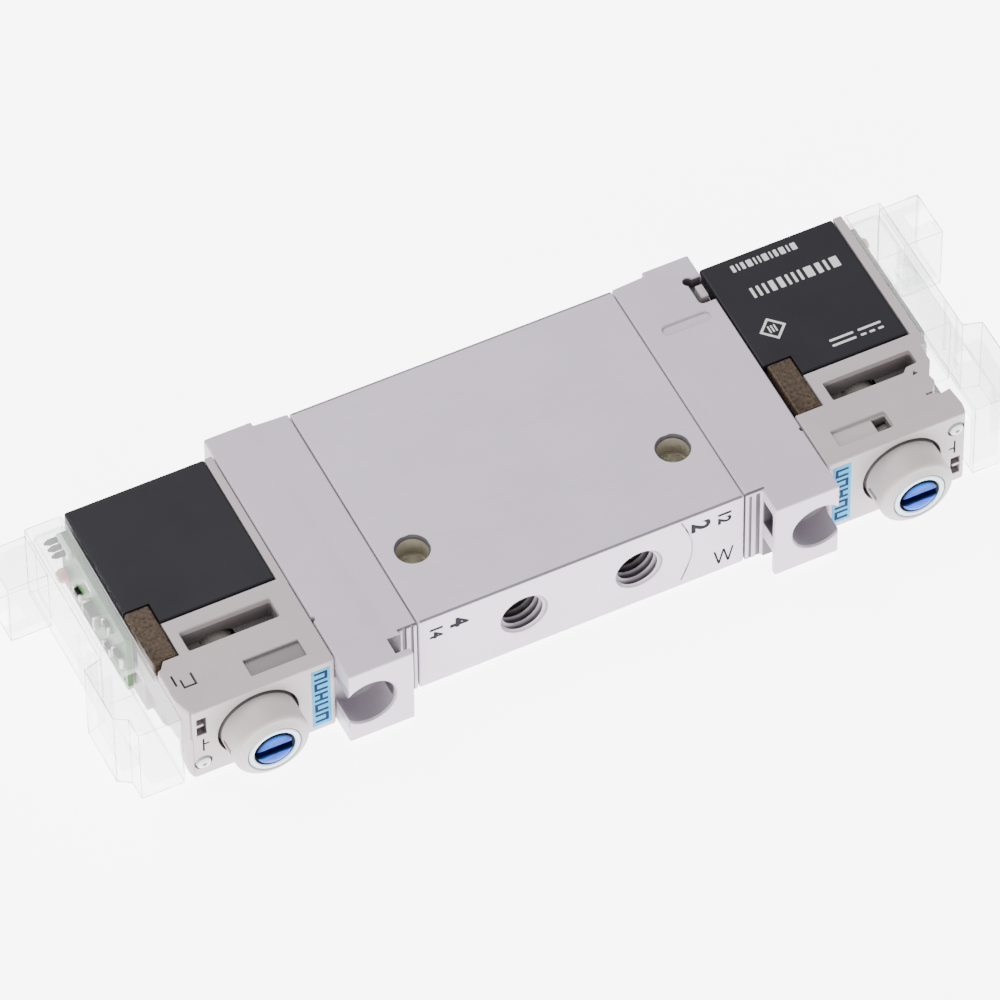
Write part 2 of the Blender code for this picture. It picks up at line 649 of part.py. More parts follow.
def frame_catch():
    """Cutter for the catch in the frame's outer side and for the step on the ear in front of it."""
    front, floor_end, rear = (FRAME_FRONT + setback for setback in CATCH_SPAN)
    floor_x = PILOT_END - CATCH_DEPTH
    ear_x = PILOT_END - EAR_INSET
    return prism([(floor_x, front), (ear_x, front), (ear_x, FRAME_FRONT - PAST),
                  (PILOT_END + PAST, FRAME_FRONT - PAST), (PILOT_END + PAST, rear),
                  (PILOT_END - CATCH_SLOPE, rear), (floor_x, floor_end)],
                 "Z", THICKNESS - CATCH_HEIGHT, THICKNESS + PAST)


def pilot_seal_block(room=0.0):
    low, high = PILOT_SEAL_SPAN
    return block((PILOT_START - (PAST if room else 0.0), FRAME_FRONT + low - room, PILOT_SEAL_EDGE - room),
                 (PILOT_START + PILOT_SEAL_THICKNESS + room, FRAME_FRONT + high + room,
                  THICKNESS - PILOT_SEAL_EDGE + room))


def coil_jacket():
    lower, upper = coil_spans()
    outline = [(lower[0], 0), (lower[1], 0), (lower[1], MID - SEAM / 2), (upper[1], MID - SEAM / 2),
               (upper[1], THICKNESS), (upper[0], THICKNESS), (upper[0], MID + SEAM / 2),
               (lower[0], MID + SEAM / 2)]
    bore = rod("Y", (AXIS_X, MID), JACKET_RADIUS, COIL_FRONT - PAST, COIL_REAR - JACKET_END_WALL)
    cuts = [bore] + [block(*corners) for corners in yoke_tabs(SEAM)]
    return carved(prism(outline, "Y", COIL_FRONT, COIL_REAR), cuts)


def coil_bobbin():
    front = BOBBIN_START + BOBBIN_FLANGE
    back = BOBBIN_END - BOBBIN_FLANGE
    profile = [(TUBE_NOSE, TUBE_BORE), (TUBE_NOSE, TUBE_RADIUS), (BOBBIN_START, TUBE_RADIUS),
               (BOBBIN_START, BOBBIN_RADIUS), (front, BOBBIN_RADIUS), (front, TUBE_RADIUS),
               (back, TUBE_RADIUS), (back, BOBBIN_RADIUS), (BOBBIN_END, BOBBIN_RADIUS),
               (BOBBIN_END, TUBE_BORE)]
    return turned(profile, "Y", (AXIS_X, MID), ring=True)


def coil_winding():
    return tube("Y", (AXIS_X, MID), TUBE_RADIUS + SEAM, BOBBIN_RADIUS - RUNNING,
                BOBBIN_START + BOBBIN_FLANGE + SEAM, BOBBIN_END - BOBBIN_FLANGE - SEAM)


def pole_core():
    return rod("Y", (AXIS_X, MID), ARMATURE_RADIUS, CORE_START, CORE_START + CORE_LENGTH)


def armature():
    bottom = ARMATURE_END - SPRING_BORE_DEPTH
    profile = [(ARMATURE_START, 0), (ARMATURE_START, ARMATURE_RADIUS), (ARMATURE_END, ARMATURE_RADIUS),
               (ARMATURE_END, SPRING_BORE_RADIUS), (bottom, SPRING_BORE_RADIUS), (bottom, 0)]
    return turned(profile, "Y", (AXIS_X, MID))


def armature_pad():
    end = ARMATURE_START - RUNNING
    return rod("Y", (AXIS_X, MID), PAD_RADIUS, end - PAD_THICKNESS, end, 24)


def armature_spring():
    return coil_spring((AXIS_X, MID), ARMATURE_SPRING_RADIUS, ARMATURE_SPRING_WIRE,
                       ARMATURE_END - SPRING_BORE_DEPTH + RUNNING, CORE_START - RUNNING,
                       ARMATURE_SPRING_TURNS, steps=9)


# ---------------------------------------------------------------- manual override

def override_boss():
    floor = TAIL_END - BOSS_FLOOR
    profile = [(BOSS_FRONT, PLUNGER_BORE), (BOSS_FRONT, PLUNGER_BORE + BOSS_RIM),
               (BOSS_FRONT + BOSS_CONE, BOSS_RADIUS), (BOSS_BACK, BOSS_RADIUS),
               (BOSS_BACK, BOSS_TAIL_RADIUS),
               (TAIL_END, BOSS_TAIL_RADIUS), (TAIL_END, PLUNGER_STEM_RADIUS + RUNNING),
               (floor, PLUNGER_STEM_RADIUS + RUNNING), (floor, PLUNGER_BORE)]
    return turned(profile, "Y", (AXIS_X, MID), 40, ring=True)


def override_plunger():
    shoulder = BOSS_FRONT + PLUNGER_HEAD_LENGTH
    tip = BOSS_FRONT + PLUNGER_LENGTH
    hole_end = HEAD_BACK + STUB_LENGTH + SEAM
    profile = [(hole_end, 0), (hole_end, STUB_RADIUS + RUNNING), (CUP_FLOOR, STUB_RADIUS + RUNNING),
               (CUP_FLOOR, CUP_RADIUS), (BOSS_FRONT, CUP_RADIUS), (BOSS_FRONT, PLUNGER_RADIUS),
               (shoulder, PLUNGER_RADIUS), (shoulder, PLUNGER_STEM_RADIUS), (tip, PLUNGER_STEM_RADIUS),
               (tip, 0)]
    return turned(profile, "Y", (AXIS_X, MID), 32)


def override_head():
    face = BOSS_FRONT - HEAD_PROUD
    profile = [(face, 0), (face, HEAD_RADIUS - HEAD_CHAMFER), (face + HEAD_CHAMFER, HEAD_RADIUS),
               (HEAD_BACK, HEAD_RADIUS), (HEAD_BACK, STUB_RADIUS),
               (HEAD_BACK + STUB_LENGTH, STUB_RADIUS), (HEAD_BACK + STUB_LENGTH, 0)]
    slot = block((AXIS_X - HEAD_RADIUS - PAST, face - PAST, MID - SLOT_WIDTH / 2),
                 (AXIS_X + HEAD_RADIUS + PAST, face + SLOT_DEPTH, MID + SLOT_WIDTH / 2))
    return carved(turned(profile, "Y", (AXIS_X, MID), 32), [slot])


def override_spring():
    radius = (PLUNGER_STEM_RADIUS + PLUNGER_BORE) / 2
    return coil_spring((AXIS_X, MID), radius, OVERRIDE_SPRING_WIRE,
                       BOSS_FRONT + PLUNGER_HEAD_LENGTH + RUNNING, TAIL_END - BOSS_FLOOR - RUNNING,
                       OVERRIDE_SPRING_TURNS, steps=12)


# ---------------------------------------------------------------- electrical end

def clear_cover():
    """Clear cap over the circuit board, with the plug's socket on its end."""
    nose_start = COVER_FRONT + COVER_NOSE_START
    nose_end = nose_start + COVER_NOSE_DEPTH
    nose_face = COVER_FACE + COVER_NOSE_LENGTH
    front_slope, rear_slope = COVER_NOSE_SLOPES
    outline = [(COVER_START, COVER_FRONT), (COVER_FACE + COVER_STEP, COVER_FRONT),
               (COVER_FACE + COVER_STEP, nose_start), (nose_face, nose_start + front_slope),
               (nose_face, nose_end - rear_slope), (COVER_FACE, nose_end), (COVER_FACE, COVER_REAR),
               (COVER_START, COVER_REAR)]
    inner_x = COVER_FACE - COVER_WALL
    hollow = block((COVER_START - PAST, COVER_FRONT + COVER_WALL, COVER_WALL),
                   (inner_x, COVER_REAR - COVER_WALL, THICKNESS - COVER_WALL))
    nose_hollow = block((COVER_START, nose_start + COVER_WALL, 2 * COVER_WALL),
                        (nose_face - COVER_WALL, nose_end - 2 * COVER_WALL, THICKNESS - 2 * COVER_WALL))
    depth, height = SOCKET_OUTER
    socket = block((COVER_FACE - COVER_WALL / 2, COVER_REAR - depth, MID - height / 2),
                   (COVER_FACE + SOCKET_LENGTH, COVER_REAR, MID + height / 2))
    opening = block((COVER_START, COVER_REAR - depth + SOCKET_WALL, MID - height / 2 + SOCKET_WALL),
                    (COVER_FACE + SOCKET_LENGTH + PAST, COVER_REAR - SOCKET_WALL,
                     MID + height / 2 - SOCKET_WALL))
    return carved(prism(outline, "Z", 0, THICKNESS), [hollow, nose_hollow, opening], [socket])


def circuit_board():
    return block((BOARD_START, BOARD_REAR - BOARD_DEPTH, BOARD_MARGIN),
                 (BOARD_START + BOARD_THICKNESS, BOARD_REAR, THICKNESS - BOARD_MARGIN))


def contact_pin(number):
    """A square pin that stands on the board behind the plug's socket, with a pointed end."""
    y = BOARD_REAR - PIN_MARGIN - PIN_SIZE / 2 - number * PIN_PITCH
    start = BOARD_START + BOARD_THICKNESS + RUNNING
    half = PIN_SIZE / 2
    tip = half / 2
    end = start + PIN_LENGTH
    corners = ((-1, -1), (1, -1), (1, 1), (-1, 1))
    vertices = [(start, y + a * half, PIN_HEIGHT + b * half) for a, b in corners]
    vertices += [(end - PIN_SIZE, y + a * half, PIN_HEIGHT + b * half) for a, b in corners]
    vertices += [(end, y + a * tip, PIN_HEIGHT + b * tip) for a, b in corners]
    faces = [(0, 1, 2, 3), (8, 9, 10, 11)]
    for base in (0, 4):
        faces += [(base + step, base + (step + 1) % 4, base + 4 + (step + 1) % 4, base + 4 + step)
                  for step in range(4)]
    return new_mesh("pin", vertices, faces)


def indicator_led():
    length, depth, height = LED_SIZE
    start = BOARD_START + BOARD_THICKNESS + RUNNING
    rear = BOARD_REAR - LED_OFFSET
    return block((start, rear - depth, LED_HEIGHT - height / 2),
                 (start + length, rear, LED_HEIGHT + height / 2))


# ---------------------------------------------------------------- assembly

def build():
    for item in list(bpy.data.objects):
        bpy.data.objects.remove(item)

    aluminium = finish("anodised_aluminium", (0.62, 0.60, 0.64), 0.38, 0.9)
    grey_plastic = finish("grey_plastic", (0.56, 0.53, 0.55), 0.5)
    warm_plastic = finish("warm_grey_plastic", (0.58, 0.53, 0.51), 0.5)
    black_plastic = finish("black_plastic", (0.035, 0.033, 0.038), 0.45)
    rubber = finish("black_rubber", (0.02, 0.02, 0.02), 0.7)
    iron = finish("bronzed_steel", (0.12, 0.085, 0.05), 0.45, 0.7)
    steel = finish("bright_steel", (0.6, 0.6, 0.6), 0.3, 1.0)
    copper = finish("enamelled_copper", (0.55, 0.22, 0.08), 0.35, 0.9)
    bobbin_plastic = finish("natural_nylon", (0.62, 0.6, 0.55), 0.5)
    white_plastic = finish("white_plastic", (0.8, 0.8, 0.8), 0.45)
    blue_plastic = finish("blue_plastic", (0.01, 0.06, 0.45), 0.35)
    clear_plastic = finish("clear_plastic", (0.95, 0.96, 0.97), 0.08, alpha=0.3)
    green_board = finish("green_board", (0.1, 0.3, 0.12), 0.4)
    gold = finish("gold_plate", (0.6, 0.42, 0.12), 0.3, 1.0)
    red_lens = finish("red_lens", (0.6, 0.1, 0.08), 0.25)

    place("valve_body", finish_mesh(valve_body(), "valve_body"), aluminium)
    # The spool rests at its left stop: the whole set is modelled half a stroke left of the middle.
    rest = (-SPOOL_STROKE / 2, 0, 0)
    place("spool", finish_mesh(spool(), "spool"), steel, rest)
    for number, middle in enumerate(seal_places(), 1):
        name = f"spool_seal_{number}"
        place(name, finish_mesh(spool_seal(middle), name), rubber.copy(), rest)

    right = bpy.data.objects.new("right_unit", None)
    left = bpy.data.objects.new("left_unit", None)
    left.location = (0, 0, THICKNESS * MM)
    left.rotation_euler = (0, math.pi, 0)
    for empty in (right, left):
        bpy.context.scene.collection.objects.link(empty)
    units = {"left": left, "right": right}

    axis_point = (AXIS_X, BOSS_FRONT, MID)
    place_pair("face_seal", face_seal(), rubber, units)
    place_pair("end_adapter", end_adapter(), grey_plastic, units)
    place_pair("pilot_seal", pilot_seal_block(), rubber, units)
    place_pair("pilot_frame", pilot_frame(), warm_plastic, units)
    place_pair("coil_jacket", coil_jacket(), black_plastic, units)
    place_pair("coil_bobbin", coil_bobbin(), bobbin_plastic, units)
    place_pair("coil_winding", coil_winding(), copper, units)
    place_pair("flux_yoke", flux_yoke(), iron, units)
    place_pair("pole_core", pole_core(), steel, units)
    place_pair("armature", armature(), steel, units, (AXIS_X, ARMATURE_START, MID))
    place_pair("armature_pad", armature_pad(), rubber, units, (AXIS_X, ARMATURE_START, MID))
    place_pair("armature_spring", armature_spring(), steel, units)
    place_pair("override_boss", override_boss(), warm_plastic, units)
    place_pair("override_plunger", override_plunger(), white_plastic, units, axis_point)
    place_pair("override_head", override_head(), blue_plastic, units, axis_point)
    place_pair("override_spring", override_spring(), steel, units)
    place_pair("clear_cover", clear_cover(), clear_plastic, units)
    place_pair("circuit_board", circuit_board(), green_board, units)
    for number in range(3):
        place_pair(f"contact_pin_{number + 1}", contact_pin(number), gold, units)
    place_pair("indicator_led", indicator_led(), red_lens, units)
    for number, (y, z) in enumerate(SCREW_PLACES, 1):
        place_pair(f"adapter_screw_{number}", adapter_screw(y, z), steel, units)


build()
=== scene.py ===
"""Finished look of the double-solenoid valve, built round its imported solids.

Lengths are in millimetres until a mesh is finished. Every place is read from the solids' boxes.
Pilot-unit pieces are made in the right unit's place; the left unit is that unit turned half round.
"""
import math
import random

import bmesh
import bpy
from mathutils import Matrix, Vector


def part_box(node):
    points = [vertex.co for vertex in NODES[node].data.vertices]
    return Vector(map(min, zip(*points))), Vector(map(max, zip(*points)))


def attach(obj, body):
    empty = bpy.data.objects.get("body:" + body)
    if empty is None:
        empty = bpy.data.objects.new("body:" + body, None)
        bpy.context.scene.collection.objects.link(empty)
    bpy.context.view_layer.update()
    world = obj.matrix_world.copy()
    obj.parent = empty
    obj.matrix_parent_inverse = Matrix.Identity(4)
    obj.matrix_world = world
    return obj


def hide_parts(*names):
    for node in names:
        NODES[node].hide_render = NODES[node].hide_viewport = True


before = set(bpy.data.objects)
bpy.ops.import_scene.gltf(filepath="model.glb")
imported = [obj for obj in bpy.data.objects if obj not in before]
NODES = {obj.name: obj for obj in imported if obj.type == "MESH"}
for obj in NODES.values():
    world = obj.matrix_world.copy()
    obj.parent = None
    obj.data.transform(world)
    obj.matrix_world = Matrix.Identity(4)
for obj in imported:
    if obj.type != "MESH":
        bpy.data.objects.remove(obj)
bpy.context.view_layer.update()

MM = 0.001
SIDES = ("left", "right")


class Extent:
    """A CAD node's box in millimetres."""

    def __init__(self, node):
        low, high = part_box(node)
        self.x0, self.y0, self.z0 = (value / MM for value in low)
        self.x1, self.y1, self.z1 = (value / MM for value in high)

    def middle(self, axis):
        return (getattr(self, axis + "0") + getattr(self, axis + "1")) / 2


BODY, SPOOL = Extent("valve_body"), Extent("spool")
ADAPTER, FRAME, JACKET, YOKE, BOSS, PLUNGER, HEAD, COVER, BOARD, PIN, LED = (
    Extent(f"right_{name}") for name in (
        "end_adapter", "pilot_frame", "coil_jacket", "flux_yoke", "override_boss", "override_plunger",
        "override_head", "clear_cover", "circuit_board", "contact_pin_1", "indicator_led"))

TOP = BODY.z1 - BODY.z0      # of the upper flat face; the lower one is at 0
MID = BODY.middle("z")
AXIS = (BOSS.middle("x"), MID)       # of the coil and the override, in X and Z
FRAME_REAR = JACKET.y0 - 0.3         # where the frame meets the coil
SPOOL_Y = SPOOL.middle("y")
SEAM_LAP = 0.09              # how far a skin reaches over the gap to its neighbour
PORT_PITCH = 6.15
MOUNT_HOLES = ((-13.95, -5.94), (13.95, -5.94))
MOUNT_RADIUS = 1.6
MOUNT_CHAMFER = 0.22
SCREW_PLACES = ((BODY.y1 - 3.9, 1.75), (BODY.y0 + 3.9, TOP - 1.75))      # in Y and Z
LEG_WIDTH = 2.6              # of the yoke's two legs
PEG_PLACE = (40.3, 8.0)      # in X and Z
THREAD_MINOR, THREAD_MAJOR = 2.08, 2.5
THREAD_PITCH = 0.8
THREAD_DEPTH = 6.0
THREAD_START = 0.28          # below the face, past the chamfered mouth
INK_DEPTH = 0.02
CREASE = 38                  # degrees above which an edge stays sharp
FLOOR_GLOW = 6.0
FLOOR_HALF = 3.0             # metres
FLOOR_DROP = 0.0006          # metres below the lower face
SKY_STRENGTH = 0.95
SENSOR_WIDTH = 36


# ---- shapes

def edited(mesh, change):
    """The mesh after a change made to it as a BMesh."""
    shape = bmesh.new()
    shape.from_mesh(mesh)
    change(shape)
    shape.to_mesh(mesh)
    shape.free()
    return mesh


def new_mesh(vertices, faces):
    mesh = bpy.data.meshes.new("shape")
    mesh.from_pydata([tuple(v) for v in vertices], [], faces)
    return edited(mesh, lambda shape: bmesh.ops.recalc_face_normals(shape, faces=shape.faces))


def placed(point, along, axis):
    """A point of the plane across an axis, at a height along it."""
    first, second = point
    return {"X": (along, first, second), "Y": (first, along, second), "Z": (first, second, along)}[axis]


def loft(sections, axis):
    """A closed solid through outlines of equal point count, each given as (along, outline)."""
    count = len(sections[0][1])
    vertices = [placed(point, along, axis) for along, outline in sections for point in outline]
    faces = [tuple(range(count)), tuple(range((len(sections) - 1) * count, len(sections) * count))]
    for row in range(len(sections) - 1):
        for index in range(count):
            after = (index + 1) % count
            base = row * count
            faces.append((base + index, base + after, base + count + after, base + count + index))
    return new_mesh(vertices, faces)


def prism(outline, axis, low, high):
    return loft([(low, outline), (high, outline)], axis)


def rectangle(x0, y0, x1, y1, radius=0.0, steps=4):
    """Outline of a rectangle with round corners."""
    if radius <= 0:
        return [(x0, y0), (x1, y0), (x1, y1), (x0, y1)]
    points = []
    for cx, cy, start in ((x1 - radius, y0 + radius, -90), (x1 - radius, y1 - radius, 0),
                          (x0 + radius, y1 - radius, 90), (x0 + radius, y0 + radius, 180)):
        for step in range(steps + 1):
            angle = math.radians(start + 90 * step / steps)
            points.append((cx + radius * math.cos(angle), cy + radius * math.sin(angle)))
    return points


def softened(outline, radius, steps=4):
    """An outline with each corner replaced by an arc-like curve of about the given radius."""
    points = []
    count = len(outline)
    for index, corner in enumerate(outline):
        corner = Vector(corner)
        before = Vector(outline[index - 1]) - corner
        after = Vector(outline[(index + 1) % count]) - corner
        reach = min(radius, before.length * 0.45, after.length * 0.45)
        start = corner + before.normalized() * reach
        end = corner + after.normalized() * reach
        for step in range(steps + 1):
            t = step / steps
            points.append(tuple(start * (1 - t) ** 2 + corner * 2 * t * (1 - t) + end * t ** 2))
    return points


def block(low, high, radius=0.0, axis="Z"):
    """A box between two corners, with round corners across X or Z."""
    x0, y0, z0 = low
    x1, y1, z1 = high
    if axis == "X":
        return prism(rectangle(y0, z0, y1, z1, radius), "X", x0, x1)
    return prism(rectangle(x0, y0, x1, y1, radius), "Z", z0, z1)


def pocket(x0, y0, x1, y1, axis, floor, face, radius=0.25, flare=0.1):
    """Cutter for a rectangular pocket from its floor out past a face, with a chamfered mouth."""
    outward = 1 if face > floor else -1
    inner = rectangle(x0, y0, x1, y1, radius)
    outer = rectangle(x0 - flare, y0 - flare, x1 + flare, y1 + flare, radius + flare)
    return loft([(floor, inner), (face - outward * flare, inner), (face, outer),
                 (face + outward * 1.0, outer)], axis)


def turned(profile, axis, centre, sides=64, ring=False):
    """A profile of (along, radius) points turned about an axis."""
    vertices = []
    rows = []
    for along, radius in profile:
        steps = 1 if radius == 0 else sides
        rows.append(list(range(len(vertices), len(vertices) + steps)))
        for step in range(steps):
            angle = 2 * math.pi * step / sides
            point = (centre[0] + radius * math.cos(angle), centre[1] + radius * math.sin(angle))
            vertices.append(placed(point, along, axis))
    pairs = list(zip(rows, rows[1:]))
    if ring:
        pairs.append((rows[-1], rows[0]))
    faces = []
    for first, second in pairs:
        for step in range(sides):
            after = (step + 1) % sides
            if len(first) == 1:
                faces.append((first[0], second[step], second[after]))
            elif len(second) == 1:
                faces.append((first[step], second[0], first[after]))
            else:
                faces.append((first[step], second[step], second[after], first[after]))
    return new_mesh(vertices, faces)


def rod(axis, centre, radius, low, high, sides=48):
    return turned([(low, 0), (low, radius), (high, radius), (high, 0)], axis, centre, sides)


def rounded(mesh, width, segments=3):
    """The mesh with its sharp edges rounded."""
    def bevel(shape):
        sharp = [edge for edge in shape.edges
                 if len(edge.link_faces) == 2 and edge.calc_face_angle() > math.radians(30)]
        bmesh.ops.bevel(shape, geom=sharp, offset=width, segments=segments, profile=0.5, affect="EDGES",
                        clamp_overlap=True)
    return edited(mesh, bevel)


def edge_lines(mesh, width=0.11):
    """Thin bars along every edge of a shape, kept inside it."""
    return edited(mesh, lambda shape: bmesh.ops.wireframe(
        shape, faces=shape.faces, thickness=width, offset=0.0, use_replace=True, use_even_offset=True))


def linked(name, data):
    """A new object in the scene."""
    made = bpy.data.objects.new(name, data)
    bpy.context.scene.collection.objects.link(made)
    return made


def as_mesh(holder):
    """The mesh that an object shows, modifiers included."""
    bpy.context.view_layer.update()
    return bpy.data.meshes.new_from_object(holder.evaluated_get(bpy.context.evaluated_depsgraph_get()))


def carved(blank, cuts=(), additions=()):
    """The blank joined with the additions and then cut."""
    body = linked("blank", blank)
    helpers = []
    for operation, meshes in (("UNION", additions), ("DIFFERENCE", cuts)):
        for mesh in meshes:
            modifier = body.modifiers.new(operation.lower(), "BOOLEAN")
            modifier.operation = operation
            modifier.solver = "EXACT"
            modifier.object = linked("helper", mesh)
            helpers.append(modifier.object)
    result = as_mesh(body)
    for item in [body] + helpers:
        bpy.data.objects.remove(item)
    return result


def joined(meshes):
    """Several separate shells in one mesh."""
    shape = bmesh.new()
    for mesh in meshes:
        shape.from_mesh(mesh)
    result = bpy.data.meshes.new("joined")
    shape.to_mesh(result)
    shape.free()
    return result


def lettering(text, height, face, centre, turn=0.0, mirror=False):
    """Digits as thin raised ink, turned by an angle and laid on a face across Y."""
    curve = bpy.data.curves.new("digits", "FONT")
    curve.body = text
    curve.size = height * 1.35
    curve.align_x = curve.align_y = "CENTER"
    curve.extrude = INK_DEPTH / 2
    curve.offset = 0.055 * height
    curve.resolution_u = 4
    holder = linked("digits", curve)
    mesh = as_mesh(holder)
    bpy.data.objects.remove(holder)
    spin = Matrix.Rotation(math.radians(turn), 3, "Z")
    for vertex in mesh.vertices:
        flat = spin @ vertex.co
        vertex.co = (centre[0] + (-flat.x if mirror else flat.x), face + flat.z, centre[1] + flat.y)
    return mesh


# ---- placing

def half_turn(mesh):
    """The same mesh in the left unit's place."""
    copy = mesh.copy()
    copy.transform(Matrix(((-1, 0, 0, 0), (0, 1, 0, 0), (0, 0, -1, TOP), (0, 0, 0, 1))))
    return copy


def piece(name, mesh, material, body="valve", nodes=(), weighted=True):
    """Finish a mesh as a piece that rides on a CAD body and stands for CAD nodes."""
    mesh.transform(Matrix.Scale(MM, 4))
    mesh.name = name
    mesh.materials.clear()
    mesh.materials.append(material)
    for polygon in mesh.polygons:
        polygon.material_index = 0
    mesh.shade_smooth()
    mesh.set_sharp_from_angle(angle=math.radians(CREASE))
    made = linked(name, mesh)
    if weighted:
        normals = made.modifiers.new("flat_faces_first", "WEIGHTED_NORMAL")
        normals.keep_sharp = True
        normals.weight = 80
    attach(made, body)
    if nodes:
        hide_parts(*nodes)


def pair(name, mesh, material, node=None, body="valve", weighted=True):
    """The piece in both pilot units. A body other than the valve is named without its side."""
    for side in SIDES:
        shape = mesh.copy() if side == "right" else half_turn(mesh)
        rides = body if body == "valve" else f"{side}_{body}"
        nodes = [f"{side}_{node}"] if node else []
        piece(f"{side}_{name}", shape, material, rides, nodes, weighted)


# ---- materials

class Field:
    """A number that varies over a surface; arithmetic on it adds Math nodes."""

    def __init__(self, finish, socket):
        self.finish = finish
        self.socket = socket

    def maths(self, operation, *others, first=None):
        values = [self, *others] if first is None else [first, self]
        node = self.finish.node("ShaderNodeMath", {"operation": operation}, dict(enumerate(values)))
        return Field(self.finish, node.outputs[0])

    def __add__(self, other):
        return self.maths("ADD", other)

    def __sub__(self, other):
        return self.maths("SUBTRACT", other)

    def __rsub__(self, other):
        return self.maths("SUBTRACT", first=other)

    def __mul__(self, other):
        return self.maths("MULTIPLY", other)

    def __truediv__(self, other):
        return self.maths("DIVIDE", other)

    def __gt__(self, other):
        return self.maths("GREATER_THAN", other)

    def __lt__(self, other):
        return self.maths("LESS_THAN", other)

    __radd__ = __add__
    __rmul__ = __mul__

    def within(self, low, high):
        return (self > low) * (self < high)

    def clamped(self):
        return self.maths("MAXIMUM", 0.0).maths("MINIMUM", 1.0)

    def between(self, low, high):
        """0 below low, 1 above high, and a straight rise between them."""
        return ((self - low) / (high - low)).clamped()


class Finish:
    """One Principled material and the nodes that vary it."""

    def __init__(self, name, colour, roughness, metallic=0.0, **constants):
        self.material = bpy.data.materials.new(name)
        self.material.use_nodes = True
        self.tree = self.material.node_tree
        self.shader = self.tree.nodes["Principled BSDF"]
        self.set("Base Color", (*colour, 1.0))
        self.set("Roughness", roughness)
        self.set("Metallic", metallic)
        for socket, value in constants.items():
            self.set(socket.replace("_", " "), value)

    def node(self, kind, settings=None, sockets=None):
        """A node of a type, its settings made first and then its sockets' values or links."""
        made = self.tree.nodes.new(kind)
        for key, value in (settings or {}).items():
            if key == "stops":
                ramp = made.color_ramp
                while len(ramp.elements) < len(value):
                    ramp.elements.new(1.0)
                for element, (position, colour) in zip(ramp.elements, value):
                    element.position = position
                    element.color = (*colour, 1.0)
            else:
                setattr(made, key, value)
        for key, value in (sockets or {}).items():
            self.give(made.inputs[key], value)
        return made

    def give(self, socket, value):
        if isinstance(value, Field):
            value = value.socket
        if isinstance(value, bpy.types.NodeSocket):
            self.tree.links.new(value, socket)
        else:
            socket.default_value = value

    def set(self, name, value):
        self.give(self.shader.inputs[name], value)

    def place(self, stretch=(1, 1, 1)):
        """Object coordinates in millimetres, squeezed along each axis by a factor."""
        source = self.node("ShaderNodeTexCoord")
        scale = tuple(value / MM for value in stretch)
        return self.node("ShaderNodeVectorMath", {"operation": "MULTIPLY"},
                         {0: source.outputs["Object"], 1: scale}).outputs[0]

    def noise(self, per_mm, detail=3.0, rough=0.55, stretch=(1, 1, 1)):
        node = self.node("ShaderNodeTexNoise", None, {"Vector": self.place(stretch), "Scale": per_mm,
                                                      "Detail": detail, "Roughness": rough})
        return Field(self, node.outputs["Fac"])

    def axis(self, name):
        parts = self.node("ShaderNodeSeparateXYZ", None, {0: self.place()})
        return Field(self, parts.outputs[name])

    def unit(self):
        """Distances along X, Y and Z that read the same in both pilot units."""
        x = self.axis("X")
        z = (self.axis("Z") - MID) * x.maths("SIGN") + MID
        return x.maths("ABSOLUTE"), self.axis("Y"), z

    def inside(self, x=None, y=None, z=None):
        """1 between the given limits in a pilot unit's own distances, 0 outside them."""
        mask = 1.0
        for value, span in zip(self.unit(), (x, y, z)):
            if span:
                mask = value.within(*span) * mask
        return mask

    def mix(self, factor, low, high):
        """A colour between two colours."""
        low, high = ((*value, 1.0) if isinstance(value, tuple) else value for value in (low, high))
        return self.node("ShaderNodeMix", {"data_type": "RGBA"}, {0: factor, 6: low, 7: high}).outputs[2]

    def bump(self, height, strength, distance):
        node = self.node("ShaderNodeBump", None, {"Height": height, "Strength": strength,
                                                 "Distance": distance * MM})
        self.set("Normal", node.outputs[0])

    def done(self, base, roughness, height, strength, distance):
        """The material, given its colour, its roughness and its bump."""
        self.set("Base Color", base)
        self.set("Roughness", roughness)
        self.bump(height, strength, distance)
        return self.material

    def edges(self, spread):
        """1 on worn outer edges, 0 on flats, from the surface's pointiness."""
        geometry = self.node("ShaderNodeNewGeometry")
        return Field(self, geometry.outputs["Pointiness"]).between(0.5 + spread * 0.2, 0.5 + spread)


def shade(colour, factor):
    return tuple(value * factor for value in colour)


